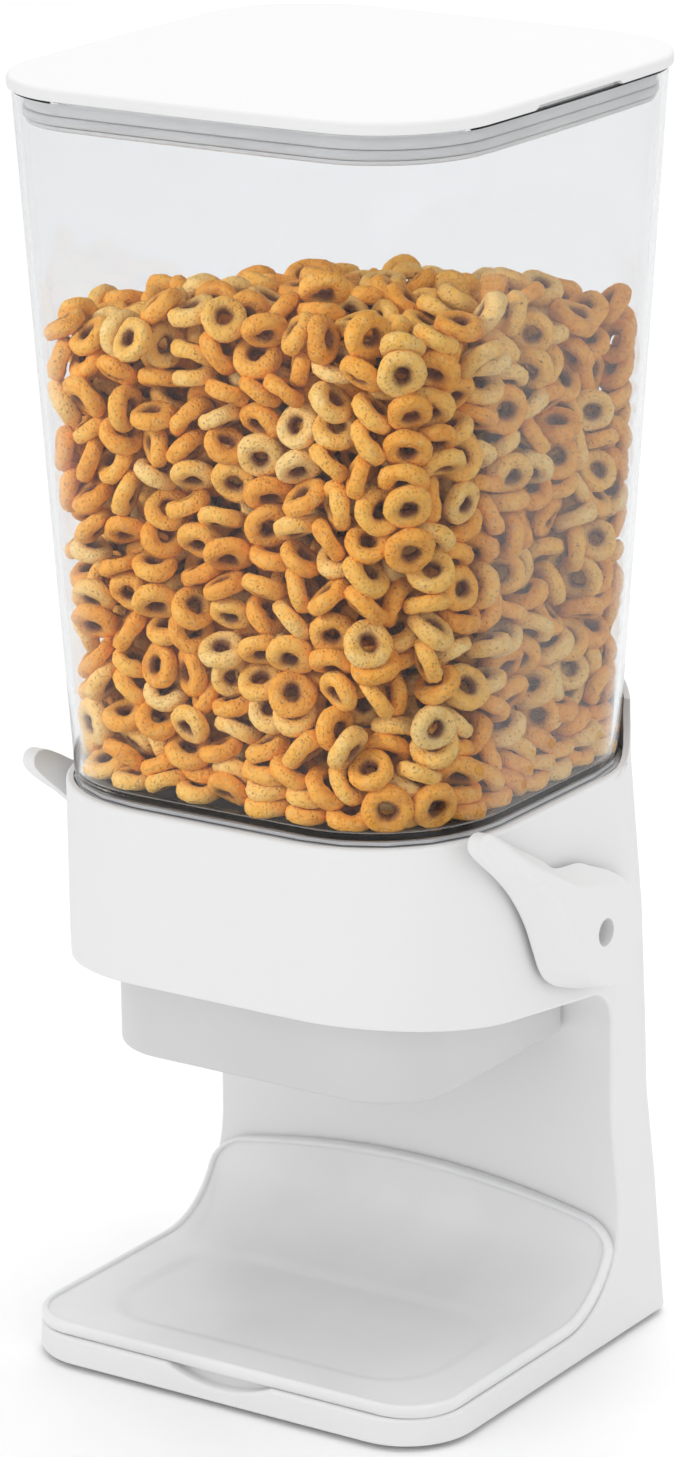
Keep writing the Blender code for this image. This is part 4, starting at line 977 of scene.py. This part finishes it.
def makeCereal():
    centres, turns, rng = settleRings()
    count, around, across = len(centres), cereal["around"], cereal["across"]
    u = np.arange(around) * math.tau / around
    v = np.arange(across) * math.tau / across
    waveTurn = rng.uniform(0, math.tau, (count, 6, 1, 1))
    scale = rng.normal(1.0, 0.035, (count, 1, 1))
    uu, vv = u[None, :, None], v[None, None, :]
    plump = 1 + 0.05 * np.cos(2 * uu + waveTurn[:, 0]) + 0.05 * np.cos(3 * uu + waveTurn[:, 1])
    plump = plump + 0.04 * np.cos(5 * uu + 2 * vv + waveTurn[:, 2])
    plump = plump + 0.03 * np.cos(7 * uu - 3 * vv + waveTurn[:, 5])
    thick = cereal["tube"] * scale * plump
    wide = cereal["radius"] * scale * (1 + 0.035 * np.cos(2 * uu + waveTurn[:, 3]))
    lift = 0.3 * mm * np.cos(2 * uu + waveTurn[:, 4]) + 0 * vv
    # the dough's section is a little square: flat faces and full shoulders
    out = wide + thick * np.sign(np.cos(vv)) * np.abs(np.cos(vv)) ** 0.82
    rise = 0.97 * thick * np.sign(np.sin(vv)) * np.abs(np.sin(vv)) ** 0.82
    shape = np.stack((out * np.cos(uu), out * np.sin(uu), lift + rise), axis=3)
    world = np.einsum("nij,nuvj->nuvi", turns, shape) + centres[:, None, None, :]
    # the tube's inner side, towards the hole: the material paints it darker, partly toasting and partly
    # painted shade
    hole = np.clip(-np.cos(vv) * 1.4 - 0.25, 0, 1) * np.ones((count, around, 1))
    shade = np.broadcast_to(0.45 * rng.random((count, 1, 1)) ** 2, (count, around, across))

    i, j = np.meshgrid(np.arange(around), np.arange(across), indexing="ij")
    iNext, jNext = (i + 1) % around, (j + 1) % across
    quads = np.stack((i * across + j, iNext * across + j, iNext * across + jNext, i * across + jNext), axis=2)
    quads = quads.reshape(-1, 4)
    order = np.argsort(centres[:, 2], kind="stable")
    pieces = []
    for number, chosen in enumerate(np.array_split(order, cereal["pieces"]), 1):
        faces = (quads[None] + (np.arange(len(chosen)) * around * across)[:, None, None]).reshape(-1, 4)
        mesh = bpy.data.meshes.new(f"cerealRings{number}")
        mesh.vertices.add(len(chosen) * around * across)
        mesh.vertices.foreach_set("co", world[chosen].astype(np.float32).ravel())
        mesh.loops.add(faces.size)
        mesh.loops.foreach_set("vertex_index", faces.astype(np.int32).ravel())
        mesh.polygons.add(len(faces))
        mesh.polygons.foreach_set("loop_start", np.arange(0, faces.size, 4, dtype=np.int32))
        mesh.update(calc_edges=True)
        for name, values in (("ringShade", shade), ("ringHoleToastAndShade", hole)):
            layer = mesh.attributes.new(name, "FLOAT", "POINT")
            layer.data.foreach_set("value", values[chosen].astype(np.float32).ravel())
        mesh.shade_smooth()
        mesh.materials.append(toastedOats)
        rings = bpy.data.objects.new(mesh.name, mesh)
        bpy.context.scene.collection.objects.link(rings)
        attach(rings, "hopper")
        pieces.append(rings)
    print("cereal made:", count, "rings")
    return pieces


cerealPieces = makeCereal()


board = {"mottle": 40 * mm, "dark": "#FCFCFC", "light": "#FEFEFE", "roughness": 0.6, "level": 0.2}


def makeFloor():
    # painted board: an even pale white, very finely mottled, so that it stays quiet
    made, tree, place = newMaterial("rolledPaintedBoard")
    mottle = addNode(tree, "ShaderNodeTexNoise", {}, {
        "Vector": place, "Scale": waves(board["mottle"]), "Detail": 3.0})
    tone = addNode(tree, "ShaderNodeValToRGB", {}, {"Fac": mottle.outputs["Fac"]})
    setStops(tone.color_ramp, ((0.3, board["dark"]), (0.7, board["light"])))
    shader = addNode(tree, "ShaderNodeBsdfPrincipled", {}, {
        "Base Color": tone.outputs["Color"], "Roughness": board["roughness"],
        "Specular IOR Level": board["level"]})
    addNode(tree, "ShaderNodeOutputMaterial", {}, {"Surface": shader.outputs["BSDF"]})
    bm = bmesh.new()
    bmesh.ops.create_grid(bm, x_segments=2, y_segments=2, size=9)
    floor = finishMesh("paleFloor", bm, made, 0)


lights = {
    "key": {"place": (-1.4, -2.1, 0.8), "size": 1.3, "power": 8.8},
    "fill": {"place": (1.9, -1.0, 1.1), "size": 1.4, "power": 6},
    "over": {"place": (0.1, 0.1, 2.2), "size": 1.4, "power": 10},
    "back": {"place": (-1.0, 2.8, 2.6), "size": 2.4, "power": 22},
    "food": {"place": (-1.2, -2.0, 1.5), "size": 0.9, "power": 36},
}
sky = {"stops": ((0.0, 0.72), (0.3, 0.9), (0.8, 1.0)), "strength": 0.84}


def makeLights():
    for name, look in lights.items():
        data = bpy.data.lights.new(name + "Softbox", "AREA")
        data.shape, data.size, data.energy = "SQUARE", look["size"], look["power"]
        lamp = bpy.data.objects.new(name + "Softbox", data)
        if name == "food":
            # a snooted lamp that only lifts the cereal
            only = bpy.data.collections.new("foodLampReaches")
            for piece in cerealPieces:
                only.objects.link(piece)
            lamp.light_linking.receiver_collection = only
        lamp.location = look["place"]
        aim = Vector((0, 0, 0.2)) - lamp.location
        lamp.rotation_euler = aim.to_track_quat("-Z", "Y").to_euler()
        bpy.context.scene.collection.objects.link(lamp)
    world = bpy.data.worlds.new("whiteStudio")
    bpy.context.scene.world = world
    world.use_nodes = True
    tree = world.node_tree
    tree.nodes.clear()
    place = addNode(tree, "ShaderNodeTexCoord").outputs["Generated"]
    height = addNode(tree, "ShaderNodeSeparateXYZ", {}, {"Vector": place}).outputs["Z"]
    fade = addNode(tree, "ShaderNodeValToRGB", {}, {"Fac": height})
    setStops(fade.color_ramp, sky["stops"])
    glow = addNode(tree, "ShaderNodeBackground", {}, {
        "Color": fade.outputs["Color"], "Strength": sky["strength"]})
    addNode(tree, "ShaderNodeOutputWorld", {}, {"Surface": glow.outputs["Background"]})


view = {
    "azimuth": 33.91, "elevation": 17.08, "roll": -0.79, "distance": 1.860, "lens": 139.38,
    "target": (-0.0022, -0.0041, 0.2127),
}


def makeCamera():
    a, e, r = (math.radians(view[key]) for key in ("azimuth", "elevation", "roll"))
    back = Vector((math.sin(a) * math.cos(e), -math.cos(a) * math.cos(e), math.sin(e)))
    right = Vector((math.cos(a), math.sin(a), 0))
    up = back.cross(right)
    rolledRight = right * math.cos(r) + up * math.sin(r)
    rolledUp = up * math.cos(r) - right * math.sin(r)
    data = bpy.data.cameras.new("studioCamera")
    data.lens, data.sensor_width, data.sensor_fit = view["lens"], 36, "AUTO"
    data.clip_start = 0.05
    camera = bpy.data.objects.new("studioCamera", data)
    place = Vector(view["target"]) + back * view["distance"]
    camera.matrix_world = Matrix((rolledRight, rolledUp, back)).transposed().to_4x4()
    camera.location = place
    bpy.context.scene.collection.objects.link(camera)
    bpy.context.scene.camera = camera


makeFloor()
makeLights()
makeCamera()
bpy.context.scene.view_settings.view_transform = "Standard"
print("studio made")

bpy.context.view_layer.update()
